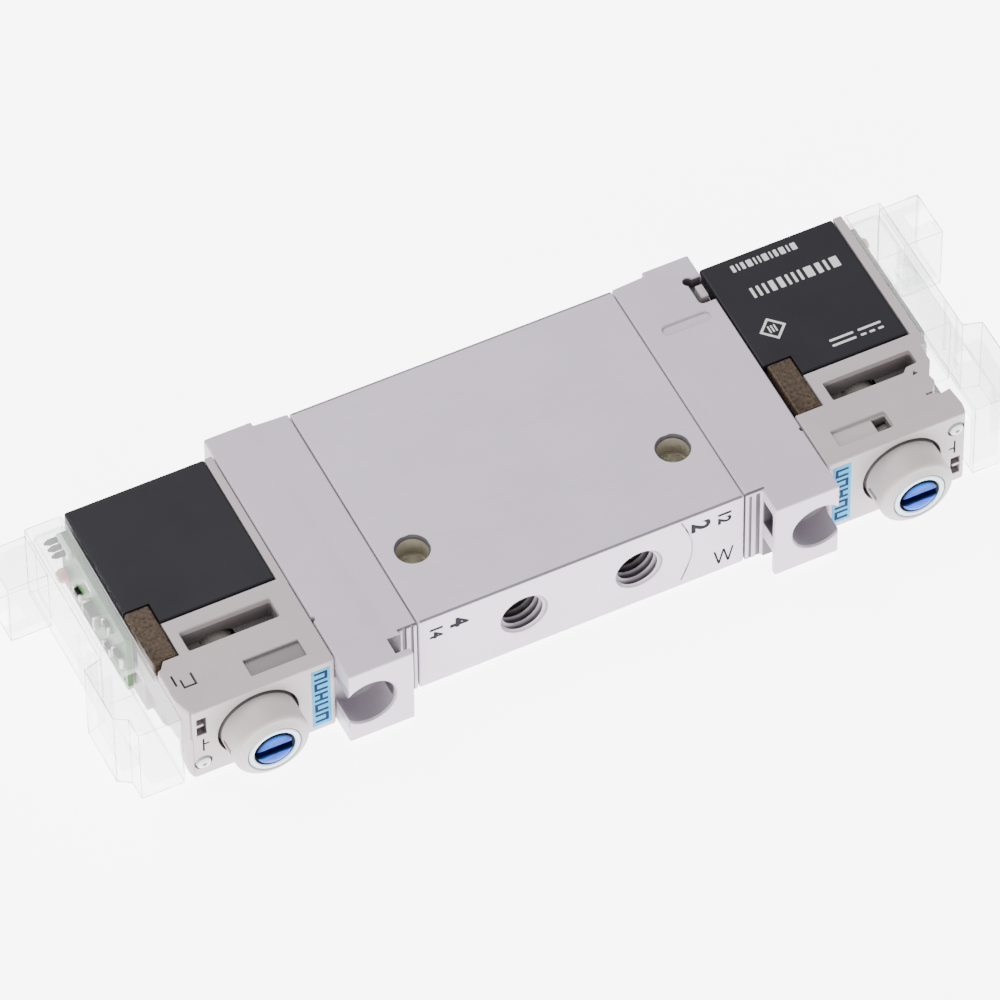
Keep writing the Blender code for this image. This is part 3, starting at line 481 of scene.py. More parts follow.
def anodised_aluminium():
    """Clear-anodised aluminium with the fine lines of its extrusion along the valve, and painted shade in
    its holes.
    """
    colour = (0.51, 0.452, 0.53)
    made = Finish("anodised_aluminium", colour, 0.5, 0.12, Specular_IOR_Level=0.35)
    lines = made.noise(2.2, 4, 0.6, (0.06, 1, 1))
    speckle = made.noise(9, 2)
    cloud = made.noise(0.12, 2)
    tone = (lines * 0.45 + speckle * 0.25 + cloud * 0.5).between(0.35, 0.85)
    skin = made.mix(tone, shade(colour, 0.93), shade(colour, 1.06))
    x, y, z = made.unit()
    height = (z - MID).maths("ABSOLUTE")
    depth = y.maths("ABSOLUTE")
    mount = x.within(12.2, 15.7) * y.within(-7.7, -4.2)
    rim = mount * height.within(4.5, 4.97)
    # the port's axis nearest to each point gives the distance into its thread
    across = x - (x / PORT_PITCH).maths("ROUND") * PORT_PITCH
    radius = (across * across + height * height).maths("SQRT")
    inner = (x < 17.0) * (height < 3.4) * (depth < 14.33) * (1 - mount)
    # painted shade in the ports: darker towards the thread roots and further in from the face
    thread = inner * (radius.between(2.12, 2.4) * 0.7 + depth.between(14.5, 12.5) * 0.5).clamped()
    # painted shade: near black deeper than about 2 mm into the bore and the ports
    core = inner * (depth < 12.2)
    # painted shade: a dark line along the front edges, clear of the port mouths
    line = (depth < 14.37) * (depth > 14.1) * (x < 17.2) * (radius > 2.8)
    cut = made.mix((thread * 0.92 + line * 0.7).clamped(), skin, shade(colour, 0.06))
    # painted shade: the cross holes' walls a darker tan
    cut = made.mix(mount * (height < 4.6), cut, (0.4, 0.37, 0.29))
    cut = made.mix(core * (speckle * 0.5 + 0.5), cut, (0.02, 0.018, 0.018))
    # painted shade: a near-black band just inside each cross hole's mouth
    return made.done(made.mix(rim * 0.9, cut, (0.03, 0.027, 0.025)), lines * 0.12 + speckle * 0.06 + 0.4,
                     lines * 0.5 + speckle * 0.5, 0.18, 0.02)


def moulded(name, colour, grain, roughness=0.46, depth=0.015, variation=0.05, specular=0.35,
            painted_shade_boxes=()):
    """Satin moulded plastic: a fine spark-eroded grain, slow tone changes, paler rubbed edges.

    Each painted shade box is a box in a pilot unit's own distances and how dark the painted shade makes it
    inside.
    """
    made = Finish(name, colour, roughness, Specular_IOR_Level=specular)
    grains = made.noise(grain, 3, 0.6)
    cloud = made.noise(0.18, 3)
    tone = (cloud * 0.8 + grains * 0.3).between(0.3, 0.8)
    body = made.mix(tone, shade(colour, 1 - variation), shade(colour, 1 + variation))
    rubbed = made.edges(0.12) * (grains * 0.6 + 0.4)
    body = made.mix(rubbed * 0.35, body, shade(colour, 1.12))
    for x, y, z, dark in painted_shade_boxes:
        # painted shade: each box darkens the surface inside it towards a deep shade of the colour
        body = made.mix(made.inside(x, y, z) * dark, body, shade(colour, 0.12))
    return made.done(body, grains * 0.14 + (roughness - 0.07) - rubbed * 0.08, grains, 0.22, depth)


def bronzed_steel():
    """Brown passivated steel sheet with mottled oxide and bright rubbed edges."""
    colour = (0.026, 0.015, 0.009)
    made = Finish("bronzed_steel", colour, 0.5, 0.15, Specular_IOR_Level=0.14)
    mottle = made.noise(2.6, 5, 0.65)
    fine = made.noise(12, 2)
    body = made.mix(mottle.between(0.35, 0.7), shade(colour, 0.75), (0.034, 0.021, 0.013))
    rubbed = made.edges(0.1) * mottle.between(0.3, 0.6)
    return made.done(made.mix(rubbed * 0.5, body, (0.12, 0.09, 0.065)), mottle * 0.25 + 0.35,
                     fine * 0.4 + mottle * 0.6, 0.25, 0.03)


def turned_metal(name, colour, roughness, pitch=6.0, axis="Y"):
    """Lathe-turned or drawn metal with fine rings across its axis."""
    made = Finish(name, colour, roughness, 1.0)
    stretch = {"X": (1, 0.1, 0.1), "Y": (0.1, 1, 0.1)}[axis]
    rings = made.noise(pitch, 3, 0.6, stretch)
    return made.done(made.mix(rings, shade(colour, 0.85), shade(colour, 1.1)),
                     rings * 0.2 + (roughness - 0.1), rings, 0.2, 0.01)


def blue_plastic():
    """Glossy blue moulding, slight flow marks, painted shade in its slot and round its side, painted
    highlight beside it.
    """
    colour = (0.002, 0.035, 0.3)
    made = Finish("blue_plastic", colour, 0.3, Specular_IOR_Level=0.1)
    flow = made.noise(0.9, 3, 0.5, (1, 0.4, 1))
    scuff = made.noise(6, 4, 0.7, (0.15, 1, 1))
    body = made.mix(flow.between(0.35, 0.7), shade(colour, 0.75), (0.003, 0.055, 0.38))
    # painted highlight: the pads either side of the slot are a lighter blue
    pads = (made.axis("Z") - MID).maths("ABSOLUTE").between(0.9, 1.5)
    body = made.mix(pads * 0.4, body, (0.02, 0.16, 0.6))
    # painted shade: near black in the slot and round the side, behind the face
    painted_shade_behind_face = made.axis("Y").between(HEAD.y0 + 0.05, HEAD.y0 + 0.2)
    return made.done(made.mix(painted_shade_behind_face, body, (0.0008, 0.005, 0.035)), scuff * 0.25 + 0.15, scuff, 0.12, 0.01)


def clear_plastic():
    """Clear polycarbonate: nearly invisible face on, whiter where it is seen edge on."""
    made = Finish("clear_plastic", (0.97, 0.98, 1.0), 0.06, IOR=1.5, Specular_IOR_Level=0.6)
    facing = made.node("ShaderNodeLayerWeight", None, {"Blend": 0.35})
    rim = Field(made, facing.outputs["Facing"])
    haze = made.noise(0.5, 3, 0.5)
    flow = made.noise(3.0, 2, 0.5, (0.3, 1, 1))
    made.set("Alpha", (rim * 0.42 + haze * 0.06 + 0.06).clamped())
    made.set("Roughness", flow * 0.1 + 0.03)
    made.bump(haze * 0.7 + flow * 0.3, 0.08, 0.05)
    return made.material


def clear_edge_reflection():
    """Painted reflection and shade on the clear moulding's edges, where it gathers the grey of the room
    unevenly.
    """
    made = Finish("clear_edge_reflection", (0.3, 0.28, 0.3), 0.3)
    patches = made.noise(0.55, 4, 0.6)
    made.set("Base Color", made.mix(patches.between(0.35, 0.65), (0.5, 0.46, 0.5), (0.09, 0.08, 0.09)))
    made.set("Alpha", patches.between(0.3, 0.7) * 0.6 + 0.22)
    made.set("Roughness", patches * 0.2 + 0.2)
    return made.material


def board_green():
    """Pale green solder mask over copper tracks, with tinned pads."""
    colour = (0.02, 0.075, 0.024)
    made = Finish("board_green", colour, 0.4, Specular_IOR_Level=0.12)
    y = made.axis("Y")
    z = made.axis("Z")
    wave = made.node("ShaderNodeTexBrick", {"offset": 0.5},
                     {"Vector": made.place(), "Scale": 0.9, "Mortar Size": 0.09,
                      "Color1": (0, 0, 0, 1), "Color2": (0, 0, 0, 1), "Mortar": (1, 1, 1, 1)})
    track = Field(made, wave.outputs["Fac"])
    cloud = made.noise(0.8, 2)
    weave = (y * 9).maths("SINE") * (z * 9).maths("SINE")
    body = made.mix(cloud, shade(colour, 0.8), shade(colour, 1.25))
    return made.done(made.mix(track * 0.6, body, (0.09, 0.18, 0.07)), cloud * 0.15 + 0.28,
                     track + weave * 0.15, 0.3, 0.03)


def printed_ink(name, colour):
    """Pad-printed ink, slightly uneven in cover."""
    made = Finish(name, colour, 0.6, Specular_IOR_Level=0.04)
    cover = made.noise(5, 3, 0.7)
    return made.done(made.mix(cover.between(0.3, 0.6), shade(colour, 0.8), colour), cover * 0.2 + 0.5,
                     cover, 0.1, 0.01)


def copper_wire():
    """Enamelled copper wire laid in even turns."""
    colour = (0.5, 0.2, 0.07)
    made = Finish("copper_wire", colour, 0.3, 0.9, Coat_Weight=0.5)
    lay = ((made.axis("Y") * 40).maths("SINE") + 1) * 0.5
    made.set("Base Color", made.mix(lay, shade(colour, 0.5), shade(colour, 1.2)))
    made.bump(lay, 0.5, 0.05)
    return made.material


def seal_rubber():
    colour = (0.022, 0.022, 0.024)
    made = Finish("seal_rubber", colour, 0.6)
    bloom = made.noise(2.0, 4, 0.6)
    return made.done(made.mix(bloom, colour, (0.05, 0.05, 0.052)), bloom * 0.3 + 0.45, bloom, 0.15, 0.02)


def tinted_lens(name, colour):
    made = Finish(name, colour, 0.15, Coat_Weight=0.6)
    depth = made.noise(1.5, 2)
    return made.done(made.mix(depth, shade(colour, 0.8), colour), depth * 0.1 + 0.1, depth, 0.05, 0.02)


def studio_floor():
    colour = (0.93, 0.93, 0.94)
    made = Finish("studio_floor", colour, 0.9, Emission_Color=(1.0, 1.0, 1.0, 1.0),
                  Emission_Strength=FLOOR_GLOW)
    grain = made.noise(0.05, 2)
    made.set("Base Color", made.mix(grain, shade(colour, 0.995), colour))
    return made.material


ALUMINIUM = anodised_aluminium()
ADAPTER_GREY = moulded("adapter_grey", (0.47, 0.415, 0.485), grain=6.0, painted_shade_boxes=(
    # painted shade in the grooves beside the body, on the foot's inner wall, in its screw hole and in its
    # rear notch
    ((17.0, 19.6), (-14.36, -14.1), None, 0.92),
    ((19.34, 21.4), (-16.8, -14.5), (0.1, 9.4), 0.97),
    ((21.0, 27.0), (-17.3, -13.8), (2.1, 7.9), 0.5),
    ((21.0, 27.0), (-13.9, 14.0), (3.2, 6.8), 0.9),
    ((24.2, 26.1), (8.6, 12.9), (8.4, 9.8), 0.93)))
FRAME_GREY = moulded("frame_grey", (0.385, 0.338, 0.35), grain=6.0, roughness=0.5, painted_shade_boxes=(
    # painted shade inside the windows and bore, the lower pocket, and the clip and catch openings
    ((27.0, 40.15), (-14.45, -4.2), (0.75, 9.35), 0.6),
    ((28.0, 34.6), (-13.2, -10.7), (0.2, 0.6), 0.6),
    ((39.3, 41.4), (-14.55, -4.2), (0.1, 4.2), 0.6),
    ((39.2, 41.25), (-14.58, -13.9), (4.0, 9.4), 0.85),
    ((39.3, 41.25), (-11.3, -5.5), (6.2, 9.9), 0.3)))
COLLAR_GREY = moulded("collar_grey", (0.4, 0.355, 0.36), grain=6.0, roughness=0.5, painted_shade_boxes=(
    # painted shade where the collar goes into the frame
    (None, (FRAME.y0 - 0.12, FRAME.y0 + 3), None, 0.8),))
COIL_BLACK = moulded("coil_black", (0.0125, 0.012, 0.0155), grain=5.0, roughness=0.55, depth=0.03,
                     variation=0.16, specular=0.16)
WHITE_PLASTIC = moulded("white_plastic", (0.6, 0.62, 0.65), grain=8.0, roughness=0.4)
RING_WHITE = moulded("ring_white", (0.5, 0.62, 0.7), grain=8.0, roughness=0.35, painted_shade_boxes=(
    # painted shade on the ring behind its front face
    (None, (PLUNGER.y0 + 0.1, 0), None, 0.97),))
NYLON = moulded("natural_nylon", (0.5, 0.47, 0.43), grain=4.0, roughness=0.4)
DARK_PART = moulded("component_black", (0.012, 0.012, 0.013), grain=9.0, roughness=0.5, specular=0.08)
TIN = turned_metal("tinned_contact", (0.5, 0.49, 0.47), 0.35)
STEEL = turned_metal("turned_steel", (0.5, 0.49, 0.48), 0.35)
SPOOL_METAL = turned_metal("spool_aluminium", (0.62, 0.62, 0.63), 0.28, axis="X")
BRONZED = bronzed_steel()
BLUE = blue_plastic()
CLEAR = clear_plastic()
CLEAR_EDGE_REFLECTION = clear_edge_reflection()
BOARD_GREEN = board_green()
INK_DARK = printed_ink("dark_ink", (0.012, 0.012, 0.015))
INK_WHITE = printed_ink("white_ink", (0.62, 0.62, 0.64))
INK_BLUE = printed_ink("pale_blue_ink", (0.05, 0.3, 0.52))
INK_NAVY = printed_ink("navy_ink", (0.006, 0.02, 0.06))
COPPER = copper_wire()
RUBBER = seal_rubber()
RED_LENS = tinted_lens("red_lens", (0.6, 0.25, 0.23))


# ---- valve body

def thread_cutter(x, face, inward):
    """Cutter for an M5 port: a chamfered mouth, a helical thread and a flat bottom."""
    sides = 48
    rows_per_turn = 10
    angles = [2 * math.pi * step / sides for step in range(sides)]

    def ring(along, radii):
        return along, [(x + radius * math.cos(angle), MID + radius * math.sin(angle))
                       for radius, angle in zip(radii, angles)]

    mouth = [THREAD_MAJOR + 0.12] * sides
    sections = [ring(face - inward * 1.0, mouth), ring(face, mouth)]
    for row in range(int(THREAD_DEPTH / THREAD_PITCH) * rows_per_turn + 1):
        depth = THREAD_START + row * THREAD_PITCH / rows_per_turn
        radii = []
        for step in range(sides):
            crest = abs((depth / THREAD_PITCH - step / sides) % 1.0 * 2 - 1)
            groove = min(1.0, max(0.0, crest * 1.25 - 0.12))
            radii.append(THREAD_MINOR + (THREAD_MAJOR - THREAD_MINOR) * groove)
        sections.append(ring(face + inward * depth, radii))
    return loft(sections, "Y")


def spool_bore():
    """Cutter for the bore with its recess at each port."""
    end = BODY.x1 + 1
    bore, recess, half = 3.5, 4.1, 1.5
    profile = [(-end, 0), (-end, bore)]
    for number in range(-2, 3):
        middle = number * PORT_PITCH
        profile += [(middle - half, bore), (middle - half, recess), (middle + half, recess),
                    (middle + half, bore)]
    profile += [(end, bore), (end, 0)]
    return turned(profile, "X", (SPOOL_Y, MID), 48)


def engraved_arc(x_start, x_bulge, z_low, z_high, face):
    """Cutter for a thin curved line engraved in the front face."""
    line = [(x_start + (x_bulge - x_start) * math.sin(math.pi * t), z_low + (z_high - z_low) * t)
            for t in (step / 16 for step in range(17))]
    outline = [(x - 0.09, z) for x, z in line] + [(x + 0.09, z) for x, z in reversed(line)]
    return prism(outline, "Y", face - 1, face + 0.12)


def valve_body():
    end = BODY.x1 + SEAM_LAP
    blank = rounded(block((-end, BODY.y0, 0), (end, BODY.y1, TOP)), 0.16)
    cuts = [spool_bore()]
    for places, face, inward in (((-1, 1), BODY.y0, 1), ((-2, 0, 2), BODY.y1, -1)):
        for number in places:
            duct = (face + 5 * inward, SPOOL_Y)
            cuts += [thread_cutter(number * PORT_PITCH, face, inward),
                     rod("Y", (number * PORT_PITCH, MID), 1.3, min(duct), max(duct))]
    # each cross hole is narrower in the middle of its length
    mouth, narrow, inset = MOUNT_RADIUS + MOUNT_CHAMFER, MOUNT_RADIUS - 0.28, 2.6
    profile = [(-1, 0), (-1, mouth), (0, mouth), (MOUNT_CHAMFER, MOUNT_RADIUS), (inset, MOUNT_RADIUS),
               (inset, narrow), (TOP - inset, narrow), (TOP - inset, MOUNT_RADIUS),
               (TOP - MOUNT_CHAMFER, MOUNT_RADIUS), (TOP, mouth), (TOP + 1, mouth),
               (TOP + 1, 0)]
    cuts += [turned(profile, "Z", place) for place in MOUNT_HOLES]
    cuts.append(engraved_arc(10.6, 11.8, 0.9, 9.7, BODY.y0))
    for y, z in SCREW_PLACES:
        cuts += [rod("X", (y, z), 0.85, end - 4, end + 1, 20),
                 rod("X", (y, TOP - z), 0.85, -end - 1, -end + 4, 20)]
    piece("valve_body_extrusion", carved(blank, cuts), ALUMINIUM, nodes=["valve_body"])
    digits = [lettering(text, height, BODY.y0, centre, -90) for text, height, centre in (
        ("4", 1.9, (-13.2, 7.9)), ("14", 1.35, (-15.6, 7.7)), ("2", 2.0, (12.6, 8.1)),
        ("12", 1.4, (15.2, 8.1)))]
    digits += [lettering(text, 1.3, BODY.y1, (x + 3.2, 8.3), 0, mirror=True)
               for text, x in (("5", -PORT_PITCH * 2), ("1", 0), ("3", PORT_PITCH * 2))]
    # a spring sign below the right pair of front digits
    for number in range(4):
        left = 14.1 + number * 0.5
        low, high = (1.2, 3.2) if number % 2 else (3.2, 1.2)
        stroke = [(left, low), (left + 0.5, high), (left + 0.72, high), (left + 0.22, low)]
        digits.append(prism(stroke, "Y", BODY.y0 - 0.01, BODY.y0 + 0.05))
    piece("port_digits", joined(digits), INK_DARK, weighted=False)


# ---- end adapter

def end_adapter():
    start, end = ADAPTER.x0 - SEAM_LAP, ADAPTER.x1 + SEAM_LAP
    foot = end - 6.9
    rear_step = end - 5.1
    outline = [(start, BODY.y0 - 0.02), (foot, BODY.y0 - 0.02), (foot, ADAPTER.y0), (end, ADAPTER.y0),
               (end, ADAPTER.y1), (rear_step, ADAPTER.y1), (rear_step, BODY.y1 + 0.3),
               (start, BODY.y1 + 0.1)]
    blank = rounded(prism(outline, "Z", 0, TOP), 0.2)
    chamber = [(start - 1, 0), (start - 1, 4.6), (start + 1.0, 4.6), (start + 1.0, 3.5), (start + 2.3, 3.5),
               (start + 2.3, 0)]
    hole_x = ADAPTER.x1 - 2.1
    front, rear = ADAPTER.y0, ADAPTER.y1
    foot_hole = [(front - 1, 0), (front - 1, 2.95), (front, 2.95), (front + 0.2, 2.75), (front + 3.1, 2.75),
                 (front + 3.3, 2.6), (front + 3.3, 1.6), (rear - 0.2, 1.6), (rear, 1.8), (rear + 1, 1.8),
                 (rear + 1, 0)]
    cuts = [turned(chamber, "X", (SPOOL_Y, MID), 48), turned(foot_hole, "Y", (hole_x, MID))]
    cuts += [pocket(BODY.y0 - 2.25, low, BODY.y0 - 0.25, high, "X", foot + 1.6, foot, 0.15, 0.12)
             for low, high in ((-1.0, 3.0), (5.3, 8.6))]
    cuts += [block((x, BODY.y0 - 1, -1), (x + width, BODY.y0 + 0.14, TOP - 0.35))
             for x, width in ((start + 0.4, 0.3), (start + 1.15, 0.45))]
    screw = [(start - 1, 0), (start - 1, 0.85), (end - 1.4, 0.85), (end - 1.4, 1.4), (end + 1, 1.4),
             (end + 1, 0)]
    cuts += [turned(screw, "X", place, 24) for place in SCREW_PLACES]
    groove_rear, notch_rear = BODY.y1 - 6.3, BODY.y1 - 2.1
    cuts += [pocket(foot + 0.3, groove_rear - 1.3, foot + 5.5, groove_rear, "Z", TOP - 0.3,
                    TOP, 0.6, 0.08),
             pocket(end - 1.7, notch_rear - 3.3, end + 1, notch_rear, "Z", TOP - 1.4, TOP,
                    0.5, 0.1),
             rod("Z", (end - 1.55, notch_rear - 0.2), 0.55, TOP - 1.4, TOP + 1, 24)]
    cuts += [rod("Z", (end, FRAME.y0 + 5.3), 0.32, low, low + 2.2, 20) for low in (-1, TOP - 1.2)]
    hook = rounded(block((end - 1.15, notch_rear - 2.5, TOP - 1.5),
                         (end - 0.35, notch_rear - 0.9, TOP - 0.15)), 0.12)
    pair("adapter_moulding", carved(blank, cuts), ADAPTER_GREY, "end_adapter")
    pair("adapter_catch", hook, FRAME_GREY)


# ---- pilot frame

def yoke_room():
    """Cutters for the places where the yoke's two legs pass the frame and the coil."""
    room = 0.1
    front, back = YOKE.y0 - room, YOKE.y1 + room
    return [block((YOKE.x1 - LEG_WIDTH - room, front, -1), (YOKE.x1 + 1, back, 2.7)),
            block((YOKE.x0 - 1, front, TOP - 2.7),
                  (YOKE.x0 + LEG_WIDTH + room, back, TOP + 1))]


def pilot_frame():
    side, x1, front = FRAME.x0, FRAME.x1, FRAME.y0
    x0 = side - SEAM_LAP
    outline = [(x0, front), (x1 - 0.7, front), (x1, front + 2.4), (x1, FRAME_REAR), (x0, FRAME_REAR)]
    blank = rounded(prism(softened(outline, 0.35), "Z", 0, TOP), 0.2)
    inner_wall = block((x0, FRAME_REAR - 1, 0.0), (side + 0.75, FRAME.y1, MID - 0.1))
    outer_wall = block((x1 - 0.95, FRAME_REAR - 1, MID + 0.1), (x1, FRAME.y1, TOP))
    additions = [rounded(inner_wall, 0.12), rounded(outer_wall, 0.12)]
    bore = [(front - 1, 0), (front - 1, 4.28), (front + 1.8, 4.28), (front + 1.8, 3.6), (front + 3.7, 3.6),
            (front + 3.7, 3.0), (FRAME_REAR + 1, 3.0), (FRAME_REAR + 1, 0)]
    cuts = [turned(bore, "Y", AXIS), *yoke_room(),
            block((x0 + 1.2, FRAME_REAR - 1.4, 1.0), (x1 - 0.7, FRAME_REAR + 1, TOP - 1.0))]
    low, high = front + 7.05, front + 9.45
    upper = [(side + 4.1, low), (38.2, low), (38.7, low + 0.55), (40.0, low + 0.65), (40.0, high),
             (side + 4.1, high)]
    cuts += [pocket(side + 2.35, low, side + 11.85, high, "Z", 2.6, 0, 0.2),
             prism(softened(upper, 0.2), "Z", TOP - 2.6, TOP + 1)]
    left, low, high = side + 2.05, front + 1.65, front + 3.75
    cuts += [pocket(left, low, left + 5.8, high, "Z", floor, face, 0.12, 0.06)
             for floor, face in ((0.45, 0), (TOP - 0.4, TOP))]
    cuts.append(pocket(left + 4.3, low + 0.2, left + 5.8, high - 0.2, "Z", TOP - 2.4,
                       TOP - 0.4, 0.1, 0.05))
    # upper side: a waisted catch behind an ear at the outer front corner
    catch = [(x1 + 1, -5.2), (41.3, -5.2), (41.24, -7.3), (40.3, -8.9), (40.45, -9.8), (39.6, -10.9),
             (40.1, -11.45), (41.3, -11.25), (41.5, -13.4), (41.35, front - 1), (x1 + 1, front - 1)]
    cuts += [prism(softened(catch, 0.15, 2), "Z", 5.8, TOP + 1),
             prism([(38.85, -8.25), (39.5, -8.15), (39.15, -7.7)], "Z", TOP - 1.2, TOP + 1),
             block((38.9, -11.05, TOP - 1.2), (40.2, -10.8, TOP + 1))]
    # lower side: slits round a small square tab, and a wedge in front of the yoke's leg
    cuts += [block((left, low, -1), (right, high, 1.2)) for left, low, right, high in (
        (39.15, -11.45, 39.4, -10.0), (39.15, -11.55, 40.5, -11.3), (40.4, -11.55, 40.6, -10.4),
        (41.0, -11.0, 41.22, -9.6))]
    cuts.append(prism([(40.9, -7.5), (x1 + 1, -7.5), (x1 + 1, -8.9), (41.6, -8.5)], "Z", -1, 1.8))
    # outer face of the front: a clip's opening with a hooked bar left standing in it
    cuts += [block((left, front - 1, low), (right, front + depth, high))
             for left, low, right, high, depth in (
                 (39.8, 1.2, 40.85, 3.7, 1.2), (40.1, 4.4, 40.3, 6.3, 0.5), (39.6, 5.1, 40.3, 5.35, 0.5))]
    cuts.append(block((x0 - 1, front + 1.65, 1.5), (side + 0.7, front + 6.35, TOP - 1.5)))
    groove = [(front - 1, 0), (front - 1, 0.95), (front + 0.25, 0.95), (front + 0.25, 0)]
    cuts.append(turned(groove, "Y", PEG_PLACE, 32))
    pair("pilot_frame_moulding", carved(blank, cuts, additions), FRAME_GREY, "pilot_frame")
    hook = rounded(block((40.05, front + 0.1, 2.2), (40.95, front + 1.4, 2.6)), 0.08)
    pair("clip_hook", hook, FRAME_GREY)
    tab = rounded(block((39.45, -11.25, 0.01), (40.35, -10.25, 0.9)), 0.1)
    pair("square_tab", tab, WHITE_PLASTIC)
    peg = turned([(front - 0.3, 0), (front - 0.3, 0.5), (front - 0.15, 0.7), (front + 0.3, 0.75),
                  (front + 0.3, 0)], "Y", PEG_PLACE, 32)
    dimple = rod("Y", PEG_PLACE, 0.25, front - 1, front + 0.1, 20)
    pair("latch_peg", carved(peg, [dimple]), WHITE_PLASTIC)
    strip = rounded(block((side + 0.45, front - 0.02, 0.75), (side + 2.45, front + 0.1, 9.25)), 0.015, 1)
    pair("colour_strip", strip, INK_BLUE, weighted=False)
    # five framed code marks down the strip
    marks = []
    left, right = side + 0.75, side + 2.15
    for row, shift in enumerate((0.0, 1.1, 0.55, 1.1, 0.0)):
        z = 1.15 + row * 1.6
        middle = left + shift
        marks += [block((low, front - 0.04, z + bottom), (high, front + 0.02, z + top))
                  for low, high, bottom, top in ((left, right, 0, 0.3), (left, right, 0.9, 1.2),
                                                 (middle, middle + 0.3, 0.3, 0.9))]
    pair("strip_code_marks", joined(marks), INK_NAVY, weighted=False)


# ---- coil and yoke

def coil():
    lower = (FRAME.x0 + 0.9 - 0.12, JACKET.x1)
    upper = (JACKET.x0 - 0.08, FRAME.x1 - 1.05)
    skin = 0.03
    outline = [(lower[0], skin), (lower[1], skin), (lower[1], MID), (upper[1], MID),
               (upper[1], TOP - skin), (upper[0], TOP - skin), (upper[0], MID), (lower[0], MID)]
    blank = rounded(prism(outline, "Y", JACKET.y0 - 0.1, JACKET.y1), 0.22)
    cuts = [rod("Y", AXIS, 4.4, JACKET.y0 - 1, JACKET.y1 - 1.2), *yoke_room()]
    pair("coil_moulding", carved(blank, cuts), COIL_BLACK, "coil_jacket")
    face = TOP - skin
    ink = []

    def bar(x, y, width, height, radius=0.1):
        ink.append(block((x, y, face - 0.02), (x + width, y + height, face + 0.015), radius))

    # rating marks: two rows of code bars, a coil symbol in a frame, and a direct-current sign
    chance = random.Random(7)
    for y, height, x, stop in ((11.1, 0.9, 29.2, 36.0), (7.3, 1.35, 29.6, 39.4)):
        while x < stop:
            width = chance.choice((0.22, 0.4, 0.62)) * height
            bar(x, y, width, height, 0.08)
            x += width + 0.28 * height
    for offset in (0.0, 0.55):
        bar(33.6, -1.6 + offset * 1.25, 2.6, 0.26)
    for number in range(3):
        bar(36.7 + number * 0.95, -1.6, 0.6, 0.26)
    bar(36.7, -0.91, 2.5, 0.26)
    centre = (29.4, 3.1)
    outer, inner = ([(centre[0] + size * a, centre[1] + size * b)
                     for a, b in ((0, -1), (1, 0), (0, 1), (-1, 0))] for size in (1.45, 1.1))
    ink.append(carved(prism(outer, "Z", face - 0.02, face + 0.015),
                      [prism(inner, "Z", face - 1, face + 1)]))
    for number in range(3):
        bar(centre[0] - 0.45 + number * 0.33, centre[1] - 0.45, 0.16, 0.9, 0.05)
    pair("coil_rating_marks", joined(ink), INK_WHITE, weighted=False)


def flux_yoke():
    low_leg = block((YOKE.x1 - LEG_WIDTH, YOKE.y0, 0.04), (YOKE.x1, YOKE.y1, 2.6))
    high_leg = block((YOKE.x0, YOKE.y0, TOP - 2.6), (YOKE.x0 + LEG_WIDTH, YOKE.y1, TOP - 0.04))
    plate = block((YOKE.x0 + 1.0, FRAME_REAR - 1.1, 1.3),
                  (YOKE.x1 - 1.0, FRAME_REAR - 0.3, TOP - 1.3))
    hole = rod("Y", AXIS, 2.5, FRAME.y0, JACKET.y0 + 4)
    mesh = carved(plate, [hole], [rounded(low_leg, 0.22), rounded(high_leg, 0.22)])
    pair("flux_yoke_steel", mesh, BRONZED, "flux_yoke")
    lips = [rounded(block((x0 + 0.35, YOKE.y0 + 0.35, z0),
                          (x0 + LEG_WIDTH - 0.35, YOKE.y1 - 0.35, z1)), 0.015)
            for x0, z0, z1 in ((YOKE.x1 - LEG_WIDTH, 0.0, 0.04), (YOKE.x0, TOP - 0.04, TOP))]
    pair("yoke_pressing", joined(lips), BRONZED)


# ---- manual override

